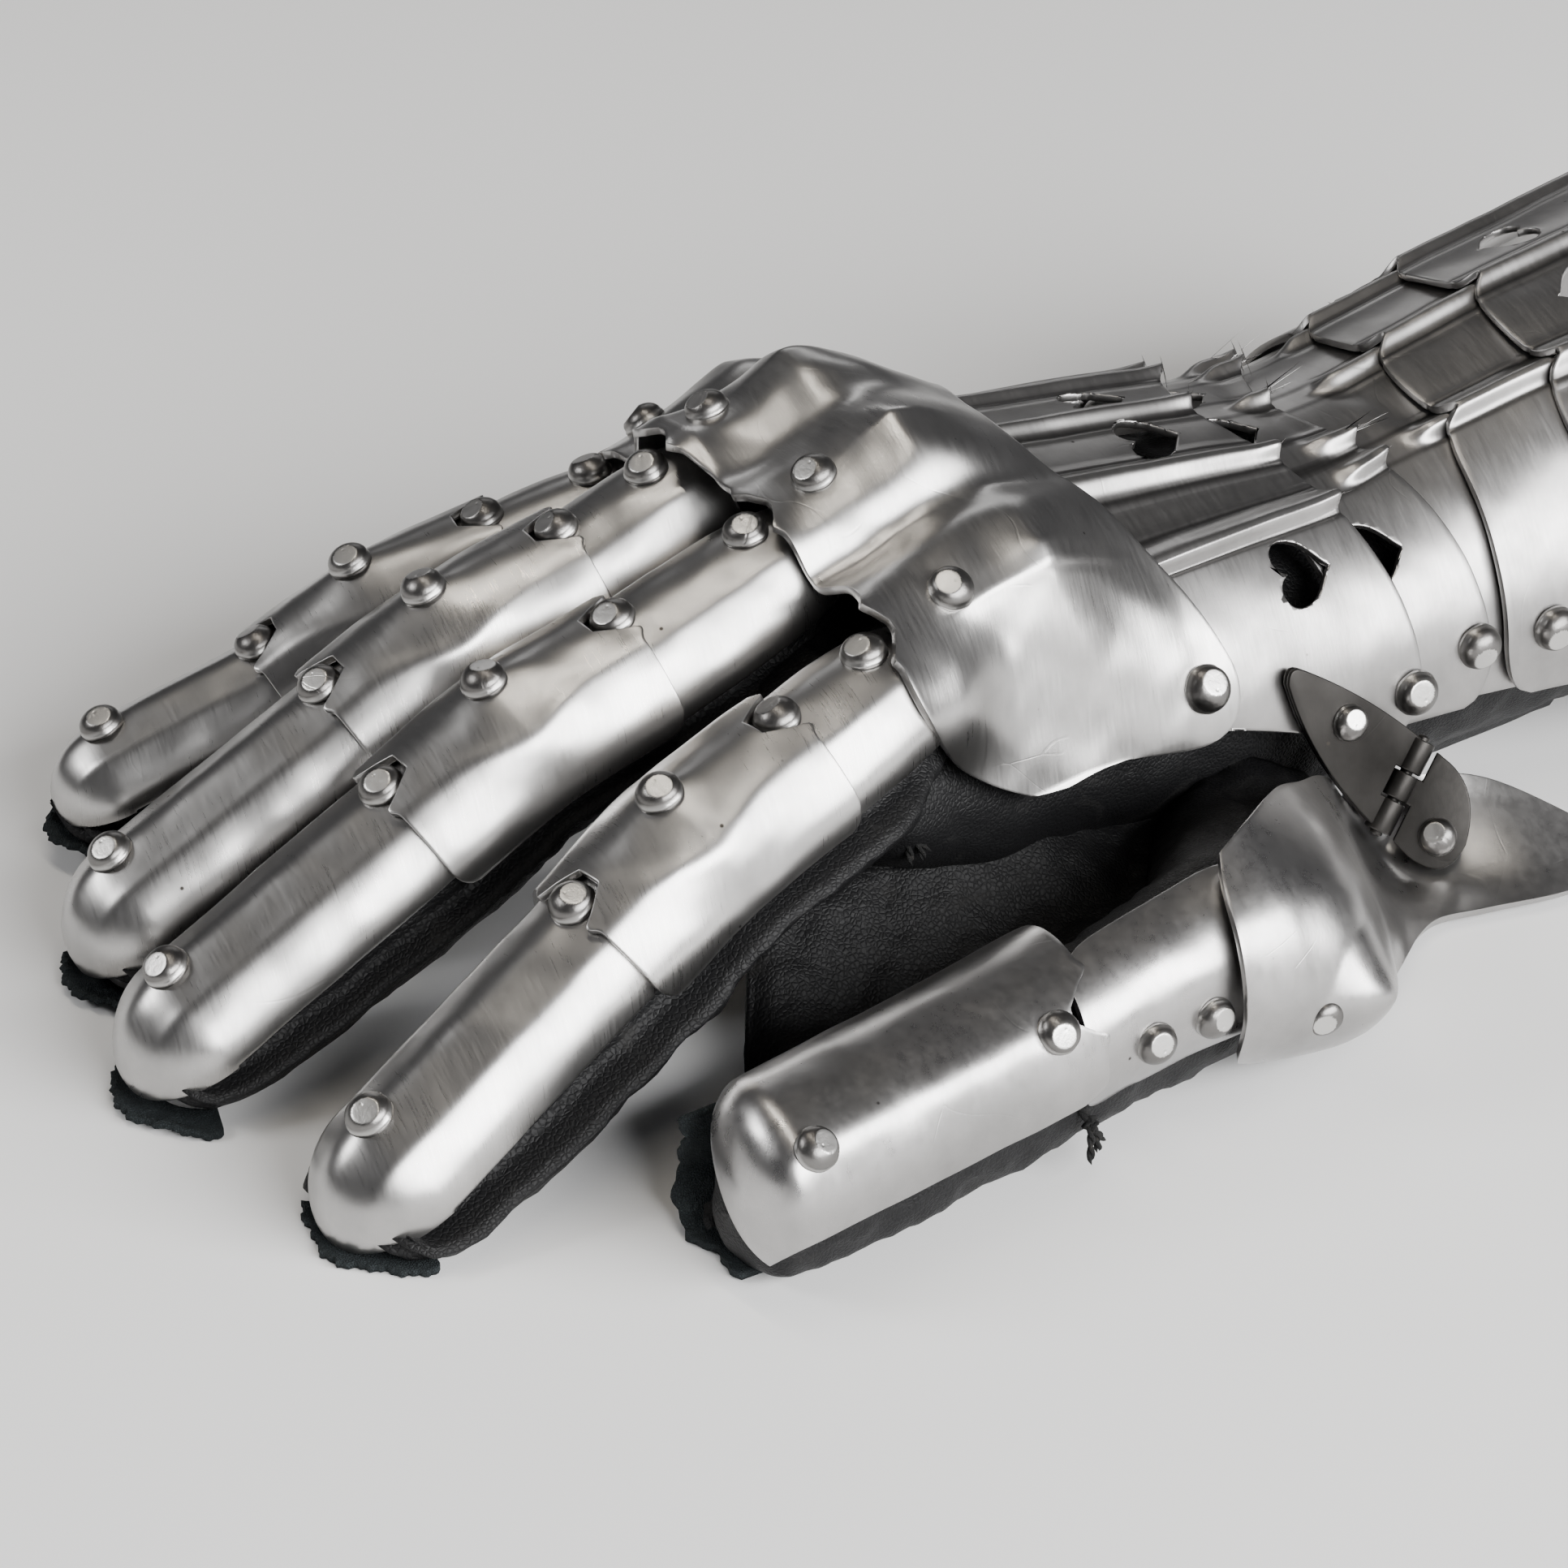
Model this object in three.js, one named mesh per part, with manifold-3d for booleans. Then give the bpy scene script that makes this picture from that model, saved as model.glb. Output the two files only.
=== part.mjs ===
// Right-hand gauntlet of polished steel plates on a leather glove, lying palm down.
// Millimetres. +X runs from the fingers to the arm, +Y to the little finger, +Z up.
import * as THREE from 'three';
import { mergeVertices } from 'three/addons/utils/BufferGeometryUtils.js';
import Module from 'manifold-3d';

const wasm = await Module();
wasm.setup();

// ---------------------------------------------------------------- driving sizes
const sheet = 1.2;                 // thickness of every steel plate
const gap = 0.8;                   // air between two nested plates
const nest = sheet + gap;          // height of one plate lying over another
const fingerNest = sheet + 0.45;
const leather = 1.6;               // thickness of the glove
const strap = 1.2;                 // thickness of the strips that carry the finger plates
const rivetRadius = 3.1;
const rivetHeight = 2.4;
const rivetLip = 0.8;
const shankRadius = 1.4;
const shankHole = 1.75;
const clenchRadius = 2.1;
const clenchGap = 1.2;             // the walls curve, so a flat clench stands off a little
const headGap = 0.8;
const fluteHeight = 1.5;
const fluteHalf = 2.6;             // half the width of a flute at its foot
const fluteTop = 0.8;              // half the width of its crest
const panelHollow = 0.5;           // how far the panels between the flutes sink
const scallop = 1.8;               // depth of the nick in a cuff edge at each flute
const heartLength = 9.5;
const heartHalf = 5.4;

// One row a finger: knuckle rivet, swing towards the thumb, half width of its plates, the
// downward slope and the length from rivet to rivet, from the knuckle to the nose.
const fingers = [
  { name: 'index', at: [2.2, -37.0, 62.1], swing: 11.0, half: 12.0,
    slope: [11, 18, 17, 30, 29, 40], run: [16.5, 16.7, 21.4, 18.9, 40.1] },
  { name: 'middle', at: [-4.2, -9.3, 71.3], swing: 1.8, half: 12.0,
    slope: [27, 22, 17, 30, 29, 39], run: [13.0, 23.8, 21.2, 20.4, 39.5] },
  { name: 'ring', at: [-7.3, 16.2, 71.7], swing: -2.2, half: 11.8,
    slope: [33, 26, 18, 29, 30, 41], run: [12.8, 16.3, 22.0, 20.4, 39.1] },
  { name: 'little', at: [-5.3, 39.3, 60.0], swing: -11.1, half: 10.2,
    slope: [35, 18, 18, 31, 22, 43], run: [11.9, 18.2, 21.3, 18.9, 26.6] },
];

// Sections of the back of the hand, the wrist and the cuff, for the outer plate.
const handRows = [
  { x: 15, top: 66.5, half: 46.6, spring: 26 },
  { x: 40, top: 64.3, half: 45.4, spring: 26 },
  { x: 60, top: 62.6, half: 44.6, spring: 26 },
  { x: 78, top: 61.0, half: 43.8, spring: 26 },
  { x: 92, top: 62.2, half: 43.4, spring: 26 },
  { x: 105, top: 65.6, half: 43.4, spring: 25 },
  { x: 122, top: 70.0, half: 44.4, spring: 24 },
  { x: 145, top: 74.6, half: 48.0, spring: 23 },
  { x: 175, top: 80.5, half: 54.0, spring: 23 },
  { x: 205, top: 87.0, half: 60.5, spring: 23 },
];

// Fluted plates from the hand to the cuff: depth below the outer level, front and rear edge
// on the centre line, how far each edge runs back at the sides, height of the lower edge at
// the front and the rear, flutes in degrees from the centre at the front and the rear edge,
// and how far behind the front edge they rise.
const plates = [
  { name: 'metacarpal_plate_1', level: 0, front: 20, frontSweep: 17, rear: 67, rearSweep: 17,
    low: [33, 21], fan: [0, 20.5, 45], flutes: [0, 20.5, 36], fluteFrom: 0, steps: 3 },
  { name: 'metacarpal_plate_2', level: -1, front: 58, frontSweep: 14, rear: 82, rearSweep: 17,
    low: [21, 20.5], fan: [0, 20.5, 35], flutes: [0, 20.5, 28.5], fluteFrom: 13, rows: [0, 0.45, 1] },
  { name: 'wrist_lame', level: -2, front: 72, frontSweep: 14, rear: 114, rearSweep: 2,
    low: [21, 20], fan: [0, 27], flutes: [0, 27], fluteFrom: 13, steps: 3 },
  { name: 'cuff_lame', level: -1, front: 102, frontSweep: 0, rear: 132, rearSweep: 2,
    low: [20, 19], fan: [0, 27], flutes: [0, 27], fluteFrom: 0, steps: 2, nicked: true },
  { name: 'cuff_plate', level: 0, front: 120, frontSweep: 0, rear: 205, rearSweep: 0,
    low: [18, 10], fan: [0, 27, 54], flutes: [0, 27, 50], fluteFrom: 0, steps: 4, nicked: true },
];

const steel = { color: 0xb9babd, roughness: 0.3, metalness: 1 };
const darkSteel = { color: 0x6d6c6b, roughness: 0.38, metalness: 1 };
const glove = { color: 0x121213, roughness: 0.75, metalness: 0 };
const suede = { color: 0x2f3537, roughness: 0.95, metalness: 0 };
const thread = { color: 0x1d1a18, roughness: 0.9, metalness: 0 };

// ---------------------------------------------------------------- helpers
const rad = THREE.MathUtils.degToRad;
const vec = (x, y, z) => new THREE.Vector3(x, y, z);
const clamp = THREE.MathUtils.clamp;
const lerp = THREE.MathUtils.lerp;
const gauntlet = new THREE.Group();

function add(name, geometry, look, parent = gauntlet) {
  const mesh = new THREE.Mesh(geometry, new THREE.MeshStandardMaterial(look));
  mesh.name = name;
  parent.add(mesh);
  return mesh;
}

function toSolid(geometry) {
  geometry.deleteAttribute('normal');
  geometry.deleteAttribute('uv');
  const merged = mergeVertices(geometry, 1e-4);
  return new wasm.Manifold(new wasm.Mesh({
    numProp: 3,
    vertProperties: new Float32Array(merged.attributes.position.array),
    triVerts: new Uint32Array(merged.index.array),
  }));
}

function toGeometry(solid) {
  const mesh = solid.getMesh();
  const geometry = new THREE.BufferGeometry();
  geometry.setAttribute('position', new THREE.BufferAttribute(mesh.vertProperties, 3));
  geometry.setIndex(new THREE.BufferAttribute(mesh.triVerts, 1));
  return geometry;
}

// Smooth value of one column of a table of rows with rising x.
function along(rows, key, x) {
  const last = rows.length - 1;
  let i = 0;
  while (i < last - 1 && x > rows[i + 1].x) i += 1;
  const slopeAt = (k) => {
    const a = rows[Math.max(k - 1, 0)];
    const b = rows[Math.min(k + 1, last)];
    return (b[key] - a[key]) / (b.x - a.x);
  };
  const width = rows[i + 1].x - rows[i].x;
  const t = clamp((x - rows[i].x) / width, 0, 1);
  const start = (1 + 2 * t) * (1 - t) ** 2 * rows[i][key] + t * (1 - t) ** 2 * width * slopeAt(i);
  const end = t * t * (3 - 2 * t) * rows[i + 1][key] - t * t * (1 - t) * width * slopeAt(i + 1);
  return start + end;
}

function spread(from, to, count) {
  return Array.from({ length: count + 1 }, (unused, i) => lerp(from, to, i / count));
}

function normalAt(surface, u, v) {
  const step = 1e-3;
  const du = surface(u + step, v).sub(surface(u - step, v));
  const dv = surface(u, v + step).sub(surface(u, v - step));
  return du.cross(dv).normalize();
}

// Closed sheet whose outer face is surface(u, v), with the thickness laid inside it.
function shell(surface, us, vs, thickness) {
  const columns = vs.length;
  const layer = us.length * columns;
  const positions = [];
  for (const depth of [0, thickness]) {
    for (const u of us) {
      for (const v of vs) {
        const point = surface(u, v).addScaledVector(normalAt(surface, u, v), -depth);
        positions.push(point.x, point.y, point.z);
      }
    }
  }
  const index = [];
  const quad = (a, b, c, d) => index.push(a, b, c, a, c, d);
  for (let i = 0; i < us.length - 1; i += 1) {
    for (let j = 0; j < columns - 1; j += 1) {
      const a = i * columns + j;
      quad(a, a + columns, a + columns + 1, a + 1);
      quad(layer + a, layer + a + 1, layer + a + columns + 1, layer + a + columns);
    }
  }
  for (let i = 0; i < us.length - 1; i += 1) {
    const a = i * columns;
    const b = a + columns - 1;
    quad(a, layer + a, layer + a + columns, a + columns);
    quad(b, b + columns, layer + b + columns, layer + b);
  }
  const end = (us.length - 1) * columns;
  for (let j = 0; j < columns - 1; j += 1) {
    quad(j, j + 1, layer + j + 1, layer + j);
    quad(end + j, layer + end + j, layer + end + j + 1, end + j + 1);
  }
  const geometry = new THREE.BufferGeometry();
  geometry.setAttribute('position', new THREE.Float32BufferAttribute(positions, 3));
  geometry.setIndex(index);
  return toSolid(geometry);
}

function lathe(profile, sides, point, normal) {
  const geometry = new THREE.LatheGeometry(profile.map(([r, y]) => new THREE.Vector2(r, y)), sides);
  const turn = new THREE.Quaternion().setFromUnitVectors(vec(0, 1, 0), normal);
  geometry.applyQuaternion(turn);
  geometry.translate(point.x, point.y, point.z);
  return toSolid(geometry);
}

// Domed head with a small hammered flat, sunk a little into the plate it is fused to.
function head(point, normal) {
  const profile = [[0, -0.5], [rivetRadius, -0.5], [rivetRadius, rivetLip],
    [rivetRadius * 0.48, rivetHeight], [0, rivetHeight]];
  return lathe(profile, 7, point, normal);
}

function pin(radius, from, to, sides = 8) {
  const length = from.distanceTo(to);
  const profile = [[0, 0], [radius, 0], [radius, length], [0, length]];
  return lathe(profile, sides, from, to.clone().sub(from).normalize());
}

// Loose rivet through a stack of plates: head outside, shank, clenched end inside.
function looseRivet(point, normal, grip) {
  const under = -grip - clenchGap;
  const profile = [[0, under - 1], [clenchRadius, under - 1], [clenchRadius, under],
    [shankRadius, under], [shankRadius, headGap], [rivetRadius, headGap],
    [rivetRadius, headGap + rivetLip], [rivetRadius * 0.48, headGap + rivetHeight],
    [0, headGap + rivetHeight]];
  return lathe(profile, 7, point, normal);
}

function shankBore(point, normal, depth) {
  const from = point.clone().addScaledVector(normal, 3);
  return pin(shankHole, from, point.clone().addScaledVector(normal, -depth));
}

// ---------------------------------------------------------------- fluted plates
// Point of the hand's back at x, an angle from the top, and a height over the outer plate.
function handPoint(x, degrees, height) {
  const half = along(handRows, 'half', x) + height;
  const spring = along(handRows, 'spring', x);
  const rise = along(handRows, 'top', x) + height - spring;
  const angle = rad(clamp(degrees, -90, 90));
  const skirt = rad(Math.max(Math.abs(degrees) - 90, 0)) * half;
  return vec(x, half * Math.sin(angle), spring + rise * Math.cos(angle) - skirt);
}

function angleAtHeight(x, z, height) {
  const spring = along(handRows, 'spring', x);
  const rise = along(handRows, 'top', x) + height - spring;
  if (z > spring) return THREE.MathUtils.radToDeg(Math.acos((z - spring) / rise));
  return 90 + THREE.MathUtils.radToDeg((spring - z) / (along(handRows, 'half', x) + height));
}

const bendAngle = 60;   // the flutes run straight up to this angle, the sides are fitted
const sideAngle = 95;

// Height of the flutes and hollow of the panels; degrees as at the plate's rear edge.
function fluteRise(plate, behind, degrees) {
  const distances = plate.flutes.map((flute) => Math.abs(Math.abs(degrees) - flute) * rad(44));
  const nearest = Math.min(...distances);
  const crest = clamp((fluteHalf - nearest) / (fluteHalf - fluteTop), 0, 1) * fluteHeight;
  const last = plate.flutes[plate.flutes.length - 1];
  const hollow = Math.abs(degrees) < last ? panelHollow : 0;
  const grown = plate.fluteFrom > 0 ? clamp((behind - plate.fluteFrom) / 5, 0, 1) : 1;
  return grown * (crest - hollow * clamp((nearest - fluteHalf) / 2, 0, 1));
}

// Bend the angles at the rear edge to those of the fan towards the front edge.
function fanned(plate, u, degrees) {
  const knots = [...plate.flutes, bendAngle];
  const bent = [...plate.flutes.map((flute, i) => lerp(plate.fan[i], flute, u)), bendAngle];
  let i = 0;
  while (i < knots.length - 2 && degrees > knots[i + 1]) i += 1;
  return lerp(bent[i], bent[i + 1], (degrees - knots[i]) / (knots[i + 1] - knots[i]));
}

function roundedCorner(side, start, radius) {
  const t = clamp((side - start) / (1 - start), 0, 1);
  return radius * (1 - Math.sqrt(1 - t * t));
}

function edge(plate, which, degrees) {
  const side = Math.min(Math.abs(degrees) / sideAngle, 1);
  const sweep = Math.sin(rad(Math.min(Math.abs(degrees), 90)));
  if (which === 'front') {
    const near = Math.min(...plate.flutes.map((flute) => Math.abs(Math.abs(degrees) - flute)));
    const nick = plate.nicked ? scallop * clamp(1 - near / 4, 0, 1) : 0;
    return plate.front + plate.frontSweep * sweep + nick + roundedCorner(side, 0.86, 5);
  }
  return plate.rear + plate.rearSweep * sweep - roundedCorner(side, 0.86, 5);
}

function plateSurface(plate) {
  return (u, v) => {
    const x = lerp(edge(plate, 'front', v), edge(plate, 'rear', v), u);
    const height = plate.level * nest;
    let degrees = Math.abs(v);
    if (degrees <= bendAngle) {
      degrees = fanned(plate, u, degrees);
    } else {
      const low = lerp(plate.low[0], plate.low[1], u);
      const t = (degrees - bendAngle) / (sideAngle - bendAngle);
      degrees = lerp(bendAngle, angleAtHeight(x, low, height), t);
    }
    const behind = x - edge(plate, 'front', v);
    return handPoint(x, Math.sign(v) * degrees, height + fluteRise(plate, behind, v));
  };
}

function flutedColumns(plate) {
  const half = [];
  const foot = fluteHalf / rad(44.5);
  const crest = fluteTop / rad(44.5);
  plate.flutes.forEach((flute, i) => {
    const next = plate.flutes[i + 1];
    if (flute > 0) half.push(flute - foot, flute - crest);
    half.push(flute + crest, flute + foot);
    if (next && next - flute > 10) half.push((flute + next) / 2);
  });
  const last = plate.flutes[plate.flutes.length - 1] + foot;
  half.push(...spread(last, 82, last > 50 ? 2 : 3).slice(1), 88, 92, sideAngle);
  return [...half.map((v) => -v).reverse(), ...half];
}

// Pierced heart: its point leads along +1 or -1 in x.
function heart(point, normal, ahead) {
  const lobe = heartHalf / 2;
  const shape = new THREE.Shape();
  shape.moveTo(heartLength * 0.62, 0);
  shape.lineTo(heartLength * 0.16, heartHalf * 0.62);
  shape.absarc(-lobe * 0.6, lobe, lobe, rad(75), rad(235), false);
  shape.lineTo(-lobe * 0.9, 0);
  shape.absarc(-lobe * 0.6, -lobe, lobe, rad(125), rad(285), false);
  shape.lineTo(heartLength * 0.16, -heartHalf * 0.62);
  shape.closePath();
  const geometry = new THREE.ExtrudeGeometry(shape, {
    depth: 10, bevelEnabled: false, curveSegments: 3 });
  geometry.translate(0, 0, -6);
  const across = vec(0, 0, 1).cross(vec(ahead, 0, 0)).normalize();
  const lead = across.clone().cross(normal).normalize();
  if (lead.x * ahead < 0) lead.negate();
  const basis = new THREE.Matrix4().makeBasis(lead, normal.clone().cross(lead), normal);
  geometry.applyMatrix4(basis.setPosition(point));
  return toSolid(geometry);
}

// Hearts of each pierced plate: the plate, angle from the centre, place of the middle.
const hearts = {
  metacarpal_plate_1: { angles: [10, 50], x: (plate, v) => edge(plate, 'rear', v) - 12, ahead: 1 },
  metacarpal_plate_2: { angles: [10, 50], x: (plate, v) => edge(plate, 'rear', v) - 12, ahead: 1 },
  cuff_plate: { angles: [13.5, 39], x: () => 135, ahead: -1 },
};

// Side rivets: place along the hand, height, plates they join from the outer one.
const pivots = [
  { name: 'metacarpal', x: 82.2, z: 27.9, joins: ['metacarpal_plate_1', 'metacarpal_plate_2'] },
  { name: 'wrist', x: 96.0, z: 31.0, joins: ['metacarpal_plate_2', 'wrist_lame'] },
  { name: 'lame', x: 110.5, z: 30.5, joins: ['cuff_lame', 'wrist_lame'] },
  { name: 'cuff', x: 128.5, z: 31.0, joins: ['cuff_plate', 'cuff_lame'] },
];

const byName = Object.fromEntries(plates.map((plate) => [plate.name, plate]));
const sides = [{ suffix: 'thumb_side', sign: -1 }, { suffix: 'little_side', sign: 1 }];

function sidePoint(x, z, height, sign) {
  const point = handPoint(x, angleAtHeight(x, z, height), height);
  return vec(x, sign * point.y, z);
}

for (const plate of plates) {
  const surface = plateSurface(plate);
  const rows = plate.rows || spread(0, 1, plate.steps);
  let solid = shell(surface, rows, flutedColumns(plate), sheet);
  const pierced = hearts[plate.name];
  for (const angle of pierced ? pierced.angles : []) {
    for (const v of [-angle, angle]) {
      const front = edge(plate, 'front', v);
      const u = (pierced.x(plate, v) - front) / (edge(plate, 'rear', v) - front);
      solid = solid.subtract(heart(surface(u, v), normalAt(surface, u, v), pierced.ahead));
    }
  }
  for (const pivot of pivots.filter((entry) => entry.joins.includes(plate.name))) {
    for (const { sign } of sides) {
      const point = sidePoint(pivot.x, pivot.z, 0, sign);
      solid = solid.subtract(shankBore(point, vec(0, sign, 0), 8));
    }
  }
  plate.solid = solid;
}

for (const pivot of pivots) {
  for (const { suffix, sign } of sides) {
    const height = byName[pivot.joins[0]].level * nest;
    const point = sidePoint(pivot.x, pivot.z, height, sign);
    const solid = looseRivet(point, vec(0, sign, 0), sheet + nest);
    add(`rivet_${pivot.name}_${suffix}`, toGeometry(solid), darkSteel);
  }
}

// ---------------------------------------------------------------- knuckle plate
// Sections of the plate without its bosses.
const knuckleRows = [
  { x: -16, top: 57.5, half: 51.5, spring: 25 },
  { x: -4, top: 63.0, half: 51.0, spring: 25 },
  { x: 8, top: 69.0, half: 50.0, spring: 25 },
  { x: 20, top: 71.0, half: 48.8, spring: 26 },
  { x: 34, top: 69.2, half: 48.2, spring: 26 },
  { x: 50, top: 67.2, half: 47.8, spring: 26 },
];

// Bosses over the finger joints: angle from the top, widths in degrees, height at the front
// edge and over the joint, where it is highest and where it has run out, and the place of
// the nick in the front edge.
const bosses = [
  { name: 'index', angle: -39.5, width: 14, outer: 26, front: 13.8, peak: 6.0, x: 17, end: 42,
    nick: -8.2 },
  { name: 'middle', angle: -9.3, width: 13, outer: 13, front: 10.4, peak: 7.8, x: 8, end: 34,
    nick: -11.0 },
  { name: 'ring', angle: 15.4, width: 13, outer: 13, front: 13.2, peak: 10.5, x: 4, end: 34,
    nick: -14.0 },
  { name: 'little', angle: 42.5, width: 14, outer: 26, front: 9.2, peak: 9.0, x: 8, end: 38,
    nick: -10.8 },
];

function bossRise(x, degrees) {
  let rise = 0;
  for (const boss of bosses) {
    const outside = Math.abs(degrees) > Math.abs(boss.angle) && degrees * boss.angle > 0;
    const across = (degrees - boss.angle) / (outside ? boss.outer : boss.width);
    const ahead = clamp((boss.x - x) / (boss.x + 10), 0, 1.2);
    const behind = clamp((x - boss.x) / (boss.end - boss.x), 0, 1);
    const fall = 1 - behind * behind * (3 - 2 * behind);
    rise += lerp(boss.peak, boss.front, ahead * ahead) * fall * Math.exp(-1.1 * across ** 4);
  }
  return rise;
}

const knuckleEnd = 82;
const knuckleNotch = 2.8;         // depth of the ogee nick behind each finger rivet

function knuckleEdge(which, degrees) {
  const side = Math.abs(degrees) / knuckleEnd;
  if (which === 'rear') {
    const sweep = Math.sin(rad(Math.abs(degrees)));
    return 27.5 + 23 * sweep ** 1.6 - roundedCorner(side, 0.8, 9);
  }
  let i = 0;
  while (i < bosses.length - 2 && degrees > bosses[i + 1].angle) i += 1;
  const share = (degrees - bosses[i].angle) / (bosses[i + 1].angle - bosses[i].angle);
  const line = lerp(bosses[i].nick, bosses[i + 1].nick, clamp(share, 0, 1));
  const near = Math.min(...bosses.map((boss) => Math.abs(degrees - boss.angle)));
  const nick = knuckleNotch * (1 - clamp(1.25 - near / 4, 0, 1));
  const valley = 4 * clamp((near - 5) / 8, 0, 1) * (side < 0.5 ? 1 : 0);
  const wing = 21 * clamp((side - 0.56) / 0.44, 0, 1) ** 1.7;
  return line - nick + valley + wing + roundedCorner(side, 0.9, 6);
}

function knuckleSurface(u, v) {
  const x = lerp(knuckleEdge('front', v), knuckleEdge('rear', v), u);
  const rise = bossRise(x, v);
  const half = along(knuckleRows, 'half', x) + rise;
  const spring = along(knuckleRows, 'spring', x);
  const height = along(knuckleRows, 'top', x) + rise - spring;
  return vec(x, half * Math.sin(rad(v)), spring + height * Math.cos(rad(v)));
}

const knuckleColumns = [
  -knuckleEnd, -79, -74, -66, -57, -50,
  ...bosses.flatMap((boss) => [-5, -1, 1, 5].map((step) => boss.angle + step)),
  -32, -25, -18, -3, 3.5, 10, 25, 29, 33, 50, 57, 66, 74, 79, knuckleEnd,
].sort((a, b) => a - b);

let knuckle = shell(knuckleSurface, spread(0, 1, 5), knuckleColumns, sheet);

for (const [i, boss] of bosses.entries()) {
  const front = knuckleEdge('front', boss.angle);
  const rear = knuckleEdge('rear', boss.angle);
  const u = (fingers[i].at[0] - front) / (rear - front);
  const point = knuckleSurface(u, boss.angle);
  knuckle = knuckle.add(head(point, normalAt(knuckleSurface, u, boss.angle)));
}

for (const degrees of [-70.5, 70.5]) {
  const front = knuckleEdge('front', degrees);
  const u = (42.1 - front) / (knuckleEdge('rear', degrees) - front);
  knuckle = knuckle.add(head(knuckleSurface(u, degrees), normalAt(knuckleSurface, u, degrees)));
}

// ---------------------------------------------------------------- finger plates
// Places of the rivets in a finger's own upright plane, x towards the tip.
function fingerChain(finger) {
  const names = ['K', 'P2', 'P1', 'M', 'T2', 'T1'];
  const chain = { K: { x: 0, z: 0 } };
  for (let i = 1; i < names.length; i += 1) {
    const from = chain[names[i - 1]];
    const slope = rad(finger.slope[i - 1]);
    const length = finger.run[i - 1];
    chain[names[i]] = {
      x: from.x + length * Math.cos(slope), z: from.z - length * Math.sin(slope) };
  }
  return chain;
}

// Arch across a finger: turn is the angle from the crest, place and slope give its station.
function arch(place, slope, half, height, turn) {
  const drop = height * (1 - Math.cos(turn));
  return vec(
    place.x - drop * Math.sin(slope),
    half * Math.sin(turn),
    place.z - drop * Math.cos(slope),
  );
}

function ahead(place, slope, distance) {
  return { x: place.x + distance * Math.cos(slope), z: place.z - distance * Math.sin(slope) };
}

const archEnd = rad(98);          // how far down the sides of a finger plate reach
const archHeight = 0.98;          // height of the arch against its half width
const rivetNick = 5.2;            // nick in the middle plate's edges round the next rivets

function nickDepth(across) {
  return rivetNick * clamp(1.7 - Math.abs(across) / 3.0, 0, 1);
}

const rearTaper = 2.6;            // and grow narrower there
const rearSink = 1.3;             // the proximal plates dip under the knuckle plate

function proximalSurface(finger, chain) {
  const slope = rad(finger.slope[1]);
  return (u, v) => {
    const reach = lerp(-4, finger.run[1] + 6, u);
    const place = ahead(chain.P2, slope, reach);
    place.z -= rearSink * (1 - u) ** 4;
    const half = finger.half - rearTaper * (1 - u) ** 4;
    return arch(place, slope, half, half * archHeight, v * archEnd);
  };
}

function middleSurface(finger, chain) {
  const slopes = [rad(finger.slope[2]), rad(finger.slope[3])];
  const half = finger.half + fingerNest;
  const height = half * archHeight;
  const lift = fingerNest;
  return (u, v) => {
    const side = Math.abs(v);
    const corner = roundedCorner(side, 0.8, 3);
    const across = half * Math.sin(v * archEnd);
    const from = -finger.run[2] - 1 + nickDepth(across) + corner;
    const to = finger.run[3] + 1 - nickDepth(across) - corner;
    const reach = lerp(from, to, u);
    const slope = reach < 0 ? slopes[0] : slopes[1];
    const base = ahead(chain.M, slope, reach);
    const fade = Math.min(1, Math.abs(reach) / (reach < 0 ? finger.run[2] : finger.run[3]));
    const bend = lerp((slopes[0] + slopes[1]) / 2, slope, Math.min(1, fade * 1.6));
    const rise = lift * fade + 1.2 * (1 - fade * fade);
    const place = { x: base.x + rise * Math.sin(bend), z: base.z + rise * Math.cos(bend) };
    return arch(place, bend, half, height, v * archEnd);
  };
}

const noseStart = 0.62;           // share of the grid's length before the nose begins

function distalSurface(finger, chain) {
  const slope = rad(finger.slope[4]);
  const half = finger.half;
  const height = half * archHeight;
  const nose = half * 1.15;
  return (u, v) => {
    const turn = v * archEnd * 0.9;
    if (u <= noseStart) {
      const reach = lerp(-6, finger.run[4] + 1, u / noseStart);
      return arch(ahead(chain.T2, slope, reach), slope, half, height, turn);
    }
    const fan = ((u - noseStart) / (1 - noseStart)) * (Math.PI / 2);
    const centre = ahead(chain.T2, slope, finger.run[4] + 1);
    const forward = nose * Math.cos(turn) * Math.sin(fan);
    const up = height * Math.cos(turn) * Math.cos(fan) - height;
    return vec(
      centre.x + forward * Math.cos(slope) + up * Math.sin(slope),
      half * Math.sin(turn),
      centre.z - forward * Math.sin(slope) + up * Math.cos(slope),
    );
  };
}

function headOn(surface, place) {
  let best = { gap: Infinity };
  for (let u = 0; u <= 1; u += 0.005) {
    const point = surface(u, 0);
    const distance = Math.hypot(point.x - place.x, point.z - place.z);
    if (distance < best.gap) best = { gap: distance, point, normal: normalAt(surface, u, 0) };
  }
  return head(best.point, best.normal);
}

const plainArch = spread(-1, 1, 8);
const nickedArch = [-1, -0.8, -0.58, -0.36, -0.24, -0.12, 0.12, 0.24, 0.36, 0.58, 0.8, 1];

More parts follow.
